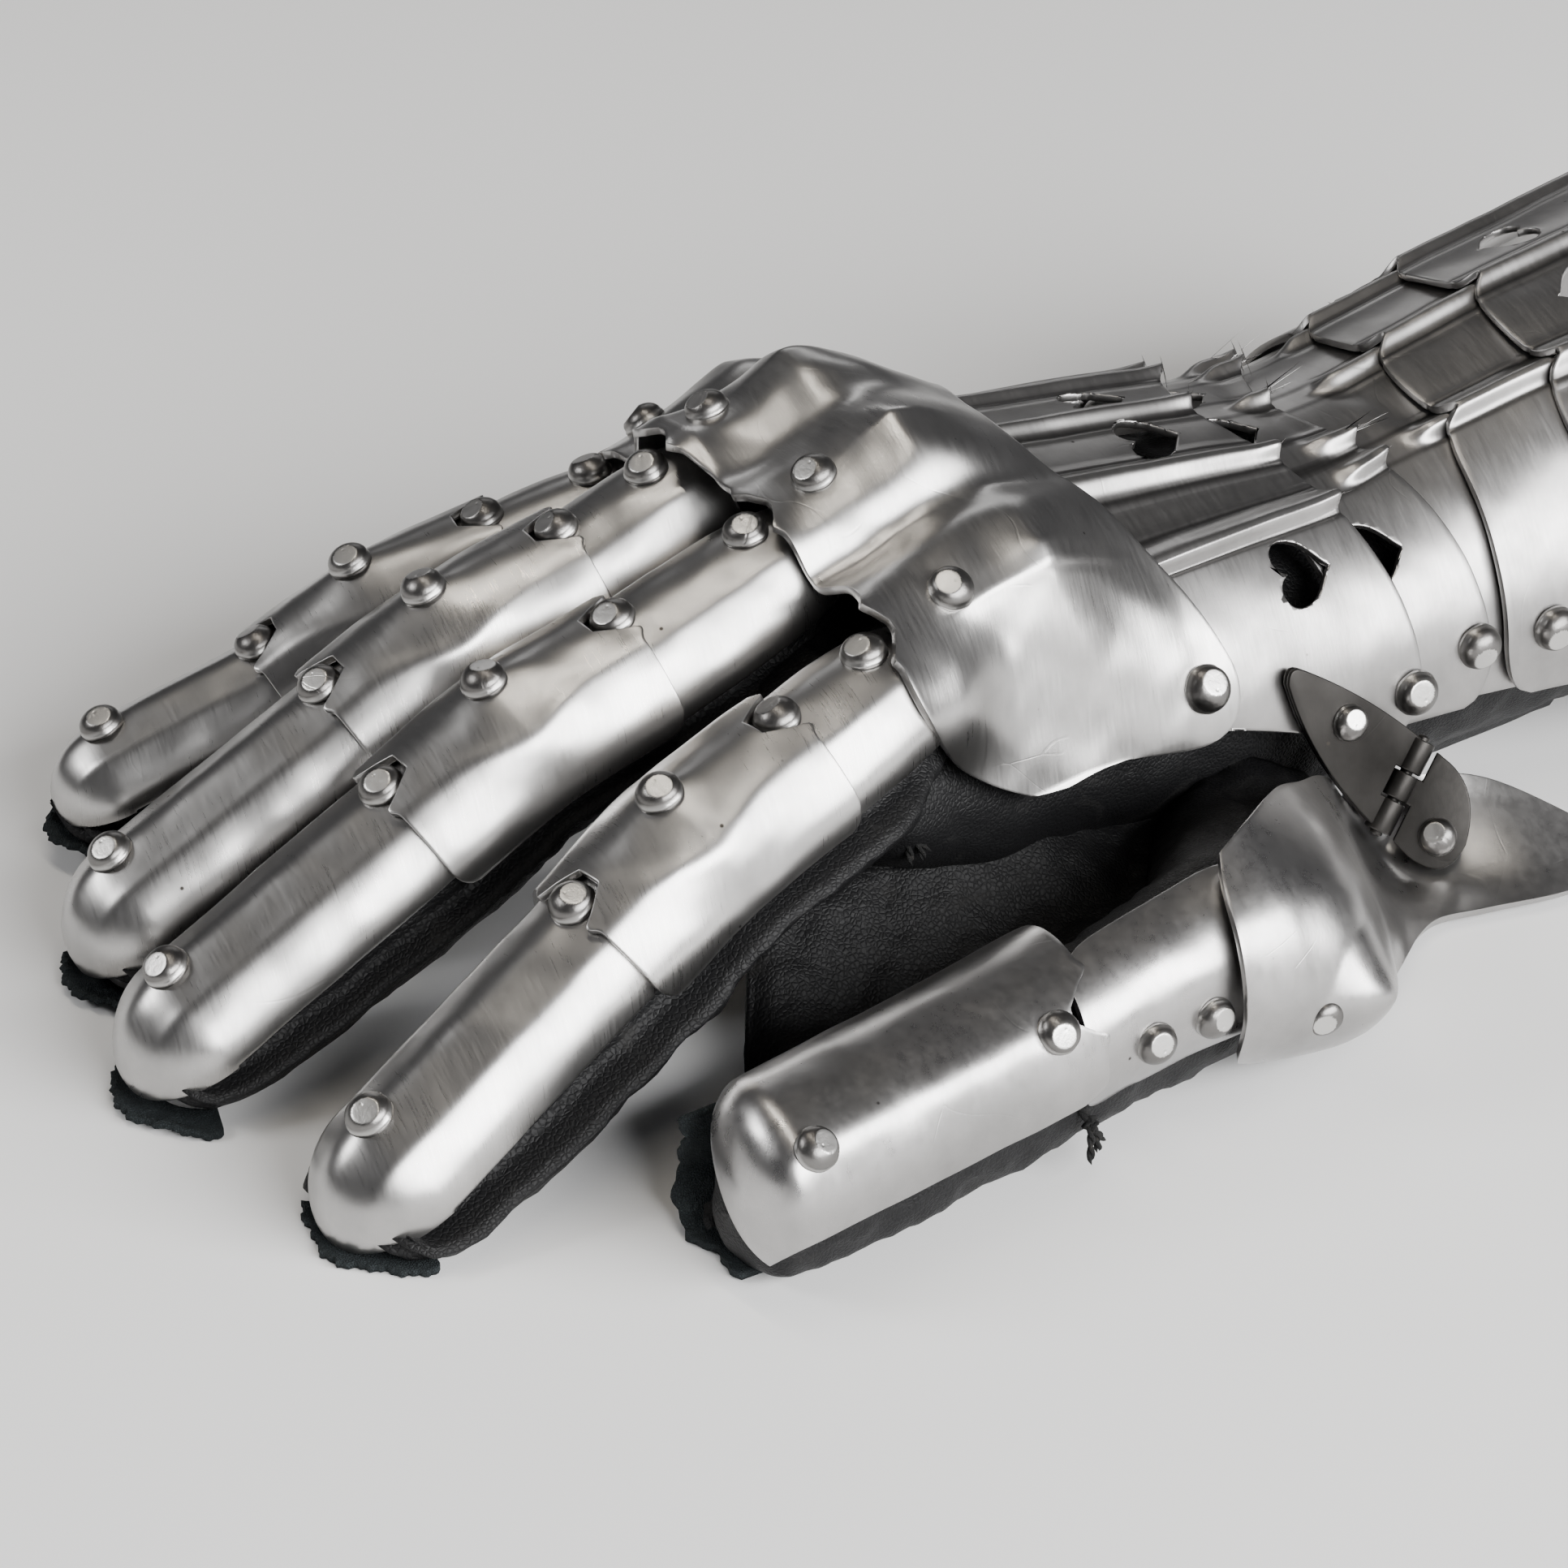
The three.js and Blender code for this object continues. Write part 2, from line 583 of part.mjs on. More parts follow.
// Closed tube through stations: a centre, half a width, half a depth and the slope of each.
function tube(stations, inset, around = 8) {
  const positions = [];
  for (const { x, y, z, half, depth, slope } of stations) {
    for (let k = 0; k < around; k += 1) {
      const turn = (k / around) * Math.PI * 2;
      const up = Math.cos(turn) * (depth - inset);
      const across = Math.sin(turn) * (half - inset);
      positions.push(x + Math.sin(slope) * up, y + across, z + Math.cos(slope) * up);
    }
  }
  const index = [];
  const last = stations.length - 1;
  for (let i = 0; i < last; i += 1) {
    for (let k = 0; k < around; k += 1) {
      const a = i * around + k;
      const b = i * around + ((k + 1) % around);
      index.push(a, b + around, b, a, a + around, b + around);
    }
  }
  const end = last * around;
  for (let k = 1; k < around - 1; k += 1) index.push(0, k, k + 1, end, end + k + 1, end + k);
  if (stations[last].x < stations[0].x) index.reverse();
  const geometry = new THREE.BufferGeometry();
  geometry.setAttribute('position', new THREE.Float32BufferAttribute(positions, 3));
  geometry.setIndex(index);
  return toSolid(geometry);
}

function block(low, high) {
  const geometry = new THREE.BoxGeometry(high[0] - low[0], high[1] - low[1], high[2] - low[2]);
  geometry.translate((low[0] + high[0]) / 2, (low[1] + high[1]) / 2, (low[2] + high[2]) / 2);
  return toSolid(geometry);
}

function placed(solid, group) {
  group.updateMatrixWorld(true);
  return toSolid(toGeometry(solid).applyMatrix4(group.matrixWorld));
}

const far = 400;
const stallFront = -11;            // the stalls reach this x inside the hand of the glove
const bed = 3.8;                  // from the face of a finger plate to the top of its stall

// Hollow stall: stations run from its open root to the closed tip.
function stall(stations) {
  const root = { ...stations[0] };
  root.x -= 6 * Math.cos(root.slope);
  root.z += 6 * Math.sin(root.slope);
  const tip = { ...stations[stations.length - 1] };
  tip.x -= leather * Math.cos(tip.slope);
  tip.z += leather * Math.sin(tip.slope);
  const inside = [root, ...stations.slice(1, -1), tip];
  return [tube(stations, 0), tube(inside, leather)];
}

// Depth the leather lies further under the plates at each rivet.
const slack = { P2: 0.9, P1: 0.2, M: 0.3, T2: 0.9, T1: 0.2 };

function stallStations(finger, chain) {
  const slope = finger.slope.map(rad);
  const back = ahead(chain.P2, slope[1], -14);
  const tip = ahead(chain.T1, slope[4], 7);
  const list = [[back, slope[1], 9.2, 2.2, 0.9], [chain.P2, slope[1], 9.5, 1.4, slack.P2],
    [chain.P1, slope[1], 9.5, 0, slack.P1], [chain.M, (slope[2] + slope[3]) / 2, 9.5, 0, slack.M],
    [chain.T2, slope[3], 9.5, 0, slack.T2], [chain.T1, slope[4], 8, 0.8, slack.T1],
    [tip, slope[4], 4.6, 3.6, 0]];
  return list.map(([place, angle, depth, shrink, drop]) => ({
    x: place.x - (bed + drop + depth) * Math.sin(angle),
    y: 0,
    z: place.z - (bed + drop + depth) * Math.cos(angle),
    half: finger.half - 1.8 - shrink,
    depth,
    slope: angle,
  }));
}

// Strip of leather that carries the plates of one finger.
function strapSurface(finger, chain) {
  const names = ['P2', 'P1', 'M', 'T2', 'T1'];
  const [, first, second, third, last] = finger.slope;
  const slopes = [first, (first + second) / 2, (second + third) / 2, (third + last) / 2, last];
  const under = sheet + 0.85;
  return (u, v) => {
    const share = u * (names.length - 1);
    const i = clamp(Math.floor(share), 0, names.length - 2);
    const from = chain[names[i]];
    const to = chain[names[i + 1]];
    const slope = rad(lerp(slopes[i], slopes[i + 1], share - i));
    const x = lerp(from.x, to.x, share - i);
    const z = lerp(from.z, to.z, share - i);
    const half = finger.half - under;
    const deep = under + lerp(slack[names[i]], slack[names[i + 1]], share - i);
    const place = { x: x - deep * Math.sin(slope), z: z - deep * Math.cos(slope) };
    return arch(place, slope, half, half * archHeight, v * rad(30));
  };
}

// Tongue of suede: from a point under the nose of a plate, along it and across it.
function tabSurface(from, direction, across) {
  return (u, v) => from.clone()
    .addScaledVector(direction, u * tab.length)
    .addScaledVector(across, v * tab.half * (1 - 0.3 * u * u));
}

const tab = { length: 14, half: 6.2, inside: 5.8, below: 0.35, thick: 0.8 };
const channels = [];
const fingerHoles = [];

for (const [i, finger] of fingers.entries()) {
  const chain = fingerChain(finger);
  const group = new THREE.Group();
  group.position.set(...finger.at);
  group.rotation.z = Math.PI + rad(finger.swing);
  gauntlet.add(group);
  const proximal = proximalSurface(finger, chain);
  const middle = middleSurface(finger, chain);
  const distal = distalSurface(finger, chain);
  const nearPlate = shell(proximal, spread(0, 1, 2), plainArch, sheet)
    .add(headOn(proximal, chain.P2)).add(headOn(proximal, chain.P1));
  const jointPlate = shell(middle, [0, 0.25, 0.45, 0.6, 0.8, 1], nickedArch, sheet)
    .add(headOn(middle, chain.M));
  const bow = [0, noseStart / 2, noseStart, 0.74, 0.87, 1];
  const tipPlate = shell(distal, bow, plainArch, sheet)
    .add(headOn(distal, chain.T2)).add(headOn(distal, chain.T1));
  add(`${finger.name}_proximal_plate`, toGeometry(nearPlate), steel, group);
  add(`${finger.name}_middle_plate`, toGeometry(jointPlate), steel, group);
  add(`${finger.name}_distal_plate`, toGeometry(tipPlate), steel, group);
  const strip = shell(strapSurface(finger, chain), spread(0, 1, 4), spread(-1, 1, 4), strap);
  add(`leather_strip_${finger.name}`, toGeometry(strip), glove, group);

  const rim = distalSurface(finger, chain)(1, 0);
  const start = vec(rim.x - tab.inside, 0, rim.z - tab.below);
  const tongue = shell(tabSurface(start, vec(1, 0, 0), vec(0, 1, 0)), [0, 0.5, 1],
    [-1, 0, 1], tab.thick);
  add(`suede_tab_${finger.name}`, toGeometry(tongue), suede, group);

  const stations = stallStations(finger, chain);
  const [outer, inner] = stall(stations).map((solid) => placed(solid, group));
  const keep = block([-far, -far, 0], [stallFront, far, far]);
  const hollow = block([-far, -far, leather], [far, far, far]);
  const skin = outer.intersect(keep).subtract(inner.intersect(hollow));
  add(`glove_stall_${finger.name}`, toGeometry(skin), glove);
  fingerHoles.push(placed(tube(stations, -0.35), group));

  const wide = finger.half + 0.5;
  const trough = new THREE.BoxGeometry(60, 2 * wide, 60);
  trough.translate(30 - 5, 0, 30 - wide * 1.14 - 0.4);
  trough.rotateY(rad(finger.slope[1]));
  trough.translate(chain.P2.x, 0, chain.P2.z);
  channels.push(placed(toSolid(trough), group));
}
add('knuckle_plate', toGeometry(knuckle), steel);

// ---------------------------------------------------------------- thumb plates
// Middle line and radius of the thumb, and the place of its plates along it.
const thumbRows = [
  { x: -58, y: -90.3, z: 14.9, r: 13.6 },
  { x: -15, y: -83.2, z: 17.0, r: 14.4 },
  { x: 0, y: -80.5, z: 18.6, r: 14.8 },
  { x: 13, y: -78.5, z: 20.0, r: 15.4 },
  { x: 26, y: -77.2, z: 21.2, r: 16.6 },
];
const thumbFacing = 47;           // the thumb's back leans out from the top by this angle

function thumbPoint(x, degrees, lift) {
  const radius = along(thumbRows, 'r', x) + lift;
  return vec(
    x,
    along(thumbRows, 'y', x) - radius * Math.sin(rad(degrees)),
    along(thumbRows, 'z', x) + radius * Math.cos(rad(degrees)),
  );
}

const thumbTip = { rear: -7.5, front: -58, nose: 15, span: 92, nick: 4.5 };

function thumbTipSurface(u, v) {
  const turn = v * thumbTip.span;
  if (u <= noseStart) {
    const nick = thumbTip.nick * clamp(1 - Math.abs(turn) / 18, 0, 1);
    const x = lerp(thumbTip.rear - nick, thumbTip.front, u / noseStart);
    return thumbPoint(x, thumbFacing + turn, 0);
  }
  const fan = ((u - noseStart) / (1 - noseStart)) * (Math.PI / 2);
  const centre = thumbPoint(thumbTip.front, 0, -along(thumbRows, 'r', thumbTip.front));
  const radius = along(thumbRows, 'r', thumbTip.front);
  const facing = vec(0, -Math.sin(rad(thumbFacing)), Math.cos(rad(thumbFacing)));
  const lateral = vec(0, -Math.cos(rad(thumbFacing)), -Math.sin(rad(thumbFacing)));
  return centre
    .addScaledVector(facing, radius * Math.cos(rad(turn)) * Math.cos(fan))
    .addScaledVector(lateral, radius * Math.sin(rad(turn)))
    .addScaledVector(vec(-0.985, -0.17, 0), thumbTip.nose * Math.cos(rad(turn)) * Math.sin(fan));
}

const thumbMiddle = { front: -12, rear: 24, from: -15, to: 142 };

function thumbMiddleSurface(u, v) {
  const corner = roundedCorner(Math.abs(2 * v - 1), 0.75, 5);
  const x = lerp(thumbMiddle.rear - corner, thumbMiddle.front + corner, u);
  return thumbPoint(x, lerp(thumbMiddle.from, thumbMiddle.to, v), -fingerNest);
}

// Sections of the thumb's base plate from its lower to its upper edge.
const baseRows = [
  { x: 16, y0: -86.5, z0: 7.0, y1: -92.3, z1: 12.5, y2: -94.2, z2: 20.0, y3: -91.0, z3: 30.0,
    y4: -83.0, z4: 36.0 },
  { x: 26, y0: -87.0, z0: 5.0, y1: -93.5, z1: 10.5, y2: -95.5, z2: 18.5, y3: -90.5, z3: 30.5,
    y4: -78.0, z4: 38.5 },
  { x: 38, y0: -86.0, z0: 4.0, y1: -93.0, z1: 10.0, y2: -93.5, z2: 18.0, y3: -85.0, z3: 29.5,
    y4: -68.0, z4: 35.0 },
  { x: 49, y0: -80.5, z0: 3.5, y1: -83.0, z1: 9.0, y2: -80.5, z2: 15.5, y3: -71.0, z3: 24.0,
    y4: -59.0, z4: 28.5 },
  { x: 58, y0: -74.5, z0: 2.8, y1: -71.5, z1: 7.0, y2: -66.5, z2: 11.5, y3: -58.5, z3: 18.0,
    y4: -51.0, z4: 23.0 },
  { x: 66, y0: -69.0, z0: 2.2, y1: -62.0, z1: 4.5, y2: -54.5, z2: 7.6, y3: -48.4, z3: 12.5,
    y4: -45.8, z4: 17.6 },
  { x: 72, y0: -66.5, z0: 1.8, y1: -58.5, z1: 2.8, y2: -51.5, z2: 5.0, y3: -47.0, z3: 9.5,
    y4: -45.6, z4: 16.0 },
  { x: 80, y0: -67.5, z0: 1.6, y1: -60.5, z1: 3.2, y2: -54.8, z2: 6.2, y3: -50.0, z3: 10.8,
    y4: -46.8, z4: 15.5 },
  { x: 92, y0: -69.5, z0: 1.8, y1: -64.5, z1: 4.0, y2: -59.5, z2: 6.8, y3: -54.8, z3: 10.0,
    y4: -51.0, z4: 13.0 },
  { x: 106, y0: -69.0, z0: 2.2, y1: -67.5, z1: 2.9, y2: -66.0, z2: 3.7, y3: -64.5, z3: 4.5,
    y4: -63.0, z4: 5.4 },
];
const baseBoss = { x: 39, v: 0.42, wide: 11, tall: 0.22, height: 3.0 };

function baseSurface(u, v) {
  const front = 16 + 5 * (2 * v - 1.1) ** 4;
  const x = lerp(front, 106, u * (0.85 + 0.15 * u));
  const rows = [0, 1, 2, 3, 4].map((i) => ({
    x: i / 4, y: along(baseRows, `y${i}`, x), z: along(baseRows, `z${i}`, x) }));
  const point = vec(x, along(rows, 'y', v), along(rows, 'z', v));
  const away = Math.hypot((x - baseBoss.x) / baseBoss.wide, (v - baseBoss.v) / baseBoss.tall);
  const rise = baseBoss.height * Math.max(0, 1 - away);
  return point.add(vec(0.2 * rise, -0.9 * rise, 0.3 * rise));
}

function thumbHead(x, degrees, lift) {
  const out = vec(0, -Math.sin(rad(degrees)), Math.cos(rad(degrees)));
  return head(thumbPoint(x, degrees, lift), out);
}

const tipBow = [0, 0.2, 0.4, noseStart, 0.74, 0.87, 1];
const tipArch = [-1, -0.75, -0.5, -0.3, -0.15, 0, 0.15, 0.3, 0.5, 0.75, 1];
const flip = (surface) => (u, v) => surface(u, 1 - v);
const thumbPlates = {
  thumb_tip_plate: shell(thumbTipSurface, tipBow, tipArch, sheet)
    .add(thumbHead(-56, thumbFacing, 0)).add(thumbHead(-15, thumbFacing + 4, 0)),
  thumb_middle_plate: shell(thumbMiddleSurface, [0, 0.08, 0.5, 0.92, 1], spread(0, 1, 9), sheet)
    .add(thumbHead(2, 92, -fingerNest)).add(thumbHead(12.5, 96, -fingerNest)),
  thumb_base_plate: shell(flip(baseSurface), spread(0, 1, 10), spread(0, 1, 9), sheet)
    .add(head(vec(29, -95.6, 15.5), vec(-0.05, -0.98, -0.2).normalize())),
};

// ---------------------------------------------------------------- thumb hinge
const pinLow = vec(71.0, -51.2, 10.5);
const pinHigh = vec(80.0, -49.2, 22.8);
const pinRadius = 1.0;
const barrelBore = 1.35;
const barrelRadius = 2.2;
const hingeAxis = pinHigh.clone().sub(pinLow).normalize();
const pinLength = pinHigh.distanceTo(pinLow);

// Frame of a leaf: first axis along the pin, second towards a point of the leaf.
function leafFrame(towards) {
  const out = towards.clone().sub(pinLow);
  out.addScaledVector(hingeAxis, -out.dot(hingeAxis)).normalize();
  const normal = hingeAxis.clone().cross(out);
  return { out, normal, matrix: new THREE.Matrix4().makeBasis(hingeAxis, out, normal)
    .setPosition(pinLow) };
}

function leaf(outline, thickness, frame) {
  const geometry = new THREE.ExtrudeGeometry(outline, {
    depth: thickness, bevelEnabled: false, curveSegments: 3 });
  geometry.translate(0, 0, -thickness / 2);
  geometry.applyMatrix4(frame.matrix);
  return toSolid(geometry);
}

function barrel(radius, from, to) {
  const start = pinLow.clone().addScaledVector(hingeAxis, from);
  return pin(radius, start, pinLow.clone().addScaledVector(hingeAxis, to), 8);
}

const upperFrame = leafFrame(vec(66.8, -47.0, 28.2));
const lowerFrame = leafFrame(vec(78.3, -57.2, 9.4));
const upperOutline = new THREE.Shape();
upperOutline.moveTo(0, 0);
upperOutline.lineTo(pinLength, 0);
upperOutline.quadraticCurveTo(pinLength + 2.5, 14, 16.5, 26);
upperOutline.quadraticCurveTo(16.2, 28.5, 13.5, 27);
upperOutline.quadraticCurveTo(4.5, 17, 0, 0);
const lowerOutline = new THREE.Shape();
lowerOutline.moveTo(0, 0);
lowerOutline.lineTo(pinLength - 0.5, 0);
lowerOutline.quadraticCurveTo(14, 11, 4, 13);
lowerOutline.quadraticCurveTo(-3, 13, -1.5, 6);
lowerOutline.closePath();

const upperThick = 1.8;
const lowerThick = 1.0;
const knuckleCut = 5.2;           // length of each outer barrel of the hinge
const endGap = 0.35;
const bore = barrel(barrelBore, -3, pinLength + 3);
const upperClear = barrel(barrelRadius + 0.45, knuckleCut, pinLength - knuckleCut);
const lowerClear = barrel(barrelRadius + 0.45, -4, knuckleCut + endGap)
  .add(barrel(barrelRadius + 0.45, pinLength - knuckleCut - endGap, pinLength + 4));
const upperRivet = pinLow.clone().addScaledVector(hingeAxis, 12.7)
  .addScaledVector(upperFrame.out, 14.2);
const lowerRivet = pinLow.clone().addScaledVector(hingeAxis, 3.2)
  .addScaledVector(lowerFrame.out, 8.6);
const upperOut = upperFrame.normal.clone().multiplyScalar(Math.sign(-upperFrame.normal.y));
const lowerOut = lowerFrame.normal.clone().multiplyScalar(Math.sign(-lowerFrame.normal.y));
const upperLeaf = leaf(upperOutline, upperThick, upperFrame)
  .add(barrel(barrelRadius, 0, knuckleCut))
  .add(barrel(barrelRadius, pinLength - knuckleCut, pinLength))
  .subtract(upperClear).subtract(bore)
  .add(head(upperRivet.clone().addScaledVector(upperOut, upperThick / 2), upperOut));
const lowerLeaf = leaf(lowerOutline, lowerThick, lowerFrame)
  .add(barrel(barrelRadius, knuckleCut + endGap, pinLength - knuckleCut - endGap))
  .subtract(lowerClear).subtract(bore)
  .add(head(lowerRivet.clone().addScaledVector(lowerOut, lowerThick / 2), lowerOut));

// The base plate is cut back round the barrels and the upper leaf, all through its swing.
function swung(solid, degrees) {
  const matrix = new THREE.Matrix4().makeTranslation(pinLow.x, pinLow.y, pinLow.z)
    .multiply(new THREE.Matrix4().makeRotationAxis(hingeAxis, rad(degrees)))
    .multiply(new THREE.Matrix4().makeTranslation(-pinLow.x, -pinLow.y, -pinLow.z));
  return toSolid(toGeometry(solid).applyMatrix4(matrix));
}

const thumbSwing = 20;            // the thumb's plates swing outwards this far
let baseClear = barrel(barrelRadius + 0.5, -1.3, pinLength + 1.3);
const leafClear = leaf(upperOutline, upperThick + 1.6, upperFrame);
for (const share of [0, 0.33, 0.67, 1]) {
  baseClear = baseClear.add(swung(leafClear, -share * (thumbSwing + 1)));
}
thumbPlates.thumb_base_plate = thumbPlates.thumb_base_plate.subtract(baseClear);
for (const plate of plates) add(plate.name, toGeometry(plate.solid), steel);
for (const [name, solid] of Object.entries(thumbPlates)) add(name, toGeometry(solid), steel);
add('hinge_upper_leaf', toGeometry(upperLeaf), darkSteel);
add('hinge_lower_leaf', toGeometry(lowerLeaf), darkSteel);
add('hinge_pin', toGeometry(barrel(pinRadius, -0.8, pinLength + 0.8)), darkSteel);

// ---------------------------------------------------------------- glove
const handOfGlove = [
  { x: -17, half: 47.2, top: 57, low: 27 },
  { x: 4, half: 44.4, top: 59.5, low: 9 },
  { x: 22, half: 41, top: 59, low: 0 },
  { x: 50, half: 37.5, top: 54, low: 0 },
  { x: 90, half: 34.5, top: 50, low: 0 },
  { x: 128, half: 35, top: 51, low: 3 },
];

function gloveSections(front, rear) {
  const last = handOfGlove.length - 1;
  return handOfGlove.map((row, i) => {
    const end = (i === 0 ? front : 0) + (i === last ? rear : 0);
    const depth = (row.top - row.low) / 2 + 2;
    return { x: row.x + end, y: 0, z: row.low - 4 + depth, half: row.half, depth, slope: 0 };
  });
}

const floorOf = (inset) => {
  const outline = new THREE.Shape(handOfGlove.map((row) => new THREE.Vector2(row.x, row.low + inset)));
  outline.lineTo(far, handOfGlove[5].low + inset);
  outline.lineTo(far, far);
  outline.lineTo(-far, far);
  outline.lineTo(-far, handOfGlove[0].low + inset);
  const geometry = new THREE.ExtrudeGeometry(outline, { depth: 2 * far, bevelEnabled: false });
  geometry.rotateX(Math.PI / 2);
  geometry.translate(0, far, 0);
  return toSolid(geometry);
};

const thumbRoot = [
  { x: 62, y: -33, z: 10.5, half: 14, depth: 10, slope: 0 },
  { x: 46, y: -50, z: 12.5, half: 13.5, depth: 11, slope: 0 },
  { x: 26, y: -72, z: 17.5, half: 12, depth: 12, slope: 0 },
  { x: 0, y: -80, z: 16.5, half: 10.6, depth: 10.6, slope: 0 },
  { x: -30, y: -85.6, z: 14.6, half: 10.2, depth: 10.2, slope: 0 },
  { x: -56, y: -90, z: 13.0, half: 9.2, depth: 9.2, slope: 0 },
  { x: -64, y: -91.4, z: 11.5, half: 6, depth: 6.5, slope: 0 },
];

const thumbSeam = -36;            // the thumb's leather ends here beside the palm
const palmSides = 14;
const aboveFloor = block([-far, -far, 0], [far, far, far]);
const aboveSkin = block([-far, -far, leather], [far, far, far]);
let palm = tube(gloveSections(0, 0), 0, palmSides).intersect(floorOf(0));
palm = palm.subtract(tube(gloveSections(leather, 6), leather, palmSides)
  .intersect(floorOf(leather)));
for (const hole of [...channels, ...fingerHoles, tube(thumbRoot, -0.4)]) palm = palm.subtract(hole);
const thumbInside = [...thumbRoot];
thumbInside[6] = { ...thumbRoot[6], x: thumbRoot[6].x + leather };
const thumbStall = tube(thumbRoot, 0).intersect(aboveFloor)
  .subtract(tube(thumbInside, leather).intersect(aboveSkin))
  .subtract(tube(gloveSections(-20, 20), -0.35, palmSides))
  .intersect(block([-far, -far, 0], [far, thumbSeam, far]));
add('glove_hand', toGeometry(palm), glove);
add('glove_stall_thumb', toGeometry(thumbStall), glove);

// The origin is under the middle of the box round the whole gauntlet.
const box = new THREE.Box3().setFromObject(gauntlet, true);
const middle = box.getCenter(vec(0, 0, 0));
gauntlet.position.set(-middle.x, -middle.y, -box.min.z);

export default gauntlet;
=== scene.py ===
import math

import bpy
import numpy as np
from mathutils import Matrix, Vector


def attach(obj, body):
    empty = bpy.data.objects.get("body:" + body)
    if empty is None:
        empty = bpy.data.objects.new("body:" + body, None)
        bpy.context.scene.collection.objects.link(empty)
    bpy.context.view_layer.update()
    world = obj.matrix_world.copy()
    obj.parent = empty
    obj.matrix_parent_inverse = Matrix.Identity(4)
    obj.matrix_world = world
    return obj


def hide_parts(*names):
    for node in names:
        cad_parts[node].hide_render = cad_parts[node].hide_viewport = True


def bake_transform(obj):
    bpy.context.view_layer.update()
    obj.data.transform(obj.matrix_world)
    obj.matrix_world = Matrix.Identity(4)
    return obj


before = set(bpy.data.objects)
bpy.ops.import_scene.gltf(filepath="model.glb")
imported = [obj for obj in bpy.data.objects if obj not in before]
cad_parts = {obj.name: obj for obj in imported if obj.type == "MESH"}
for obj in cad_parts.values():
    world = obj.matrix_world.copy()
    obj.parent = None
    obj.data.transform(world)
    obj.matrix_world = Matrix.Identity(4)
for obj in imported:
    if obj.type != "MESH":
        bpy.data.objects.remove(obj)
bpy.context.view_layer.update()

# ------------------------------------------------------------------ table and camera
# The gauntlet lies palm down on a pale table. Sizes below are in the hand's own millimetres,
# +x towards the arm, -y towards the thumb; hand_zero puts them into the row's frame.
hand_zero = np.array([-39.641, 19.0428, 0.0])


def to_row(points):
    return (np.asarray(points, float) + hand_zero) * 0.001


def row_point(x, y, z):
    return Vector(to_row([x, y, z]))


camera_data = bpy.data.cameras.new("camera")
camera = bpy.data.objects.new("camera", camera_data)
bpy.context.scene.collection.objects.link(camera)
camera_data.sensor_width = 36.0
camera_data.lens = 103.994
camera_data.clip_start = 0.05
camera_data.clip_end = 20.0
azimuth = math.radians(-29.7)
elevation = math.radians(30.0)
right = Vector((math.cos(azimuth), math.sin(azimuth), 0.0))
back = Vector((math.sin(azimuth) * math.cos(elevation), -math.cos(azimuth) * math.cos(elevation),
               math.sin(elevation)))
turn = Matrix((right, back.cross(right), back)).transposed().to_4x4()
camera.matrix_world = Matrix.Translation(row_point(-301.4, -522.0, 361.3)) @ turn
bpy.context.scene.camera = camera

table_mesh = bpy.data.meshes.new("table_top")
table_half = 6.0
table_mesh.from_pydata([(x * table_half, y * table_half, 0)
                        for x, y in ((-1, -1), (1, -1), (1, 1), (-1, 1))], [], [(0, 1, 2, 3)])
table_top = bpy.data.objects.new("table_top", table_mesh)
bpy.context.scene.collection.objects.link(table_top)
table_look = bpy.data.materials.new("pale_table")
table_look.use_nodes = True
table_shader = table_look.node_tree.nodes["Principled BSDF"]
table_shader.inputs["Base Color"].default_value = (0.86, 0.86, 0.86, 1.0)
table_shader.inputs["Roughness"].default_value = 0.9
table_mesh.materials.append(table_look)

world = bpy.data.worlds.new("studio")
bpy.context.scene.world = world
world.use_nodes = True
world.node_tree.nodes["Background"].inputs["Color"].default_value = (0.075, 0.075, 0.079, 1.0)
world.node_tree.nodes["Background"].inputs["Strength"].default_value = 1.0


def softbox(name, towards, distance, width, depth, power, tint=(1.0, 1.0, 1.0)):
    """Rectangular lamp, metres and watts, facing the gauntlet from the given direction."""
    lamp = bpy.data.lights.new(name, "AREA")
    lamp.shape = "RECTANGLE"
    lamp.size = width
    lamp.size_y = depth
    lamp.energy = power
    lamp.color = tint
    holder = bpy.data.objects.new(name, lamp)
    bpy.context.scene.collection.objects.link(holder)
    aim = Vector(towards).normalized()
    holder.location = Vector((0.0, 0.0, 0.03)) + aim * distance
    holder.rotation_euler = aim.to_track_quat("Z", "Y").to_matrix().to_euler()


softbox("front_softbox", (0.24, -0.87, 0.43), 1.5, 1.7, 0.72, 70.0)
softbox("overhead_strip", (-0.10, -0.02, 1.0), 1.5, 1.5, 0.045, 6.5, (1.0, 0.93, 0.82))
softbox("left_softbox", (-0.72, 0.30, 0.55), 1.7, 0.6, 0.4, 9.0)
softbox("far_fill", (0.45, 0.9, 0.55), 2.4, 1.3, 0.3, 3.5)


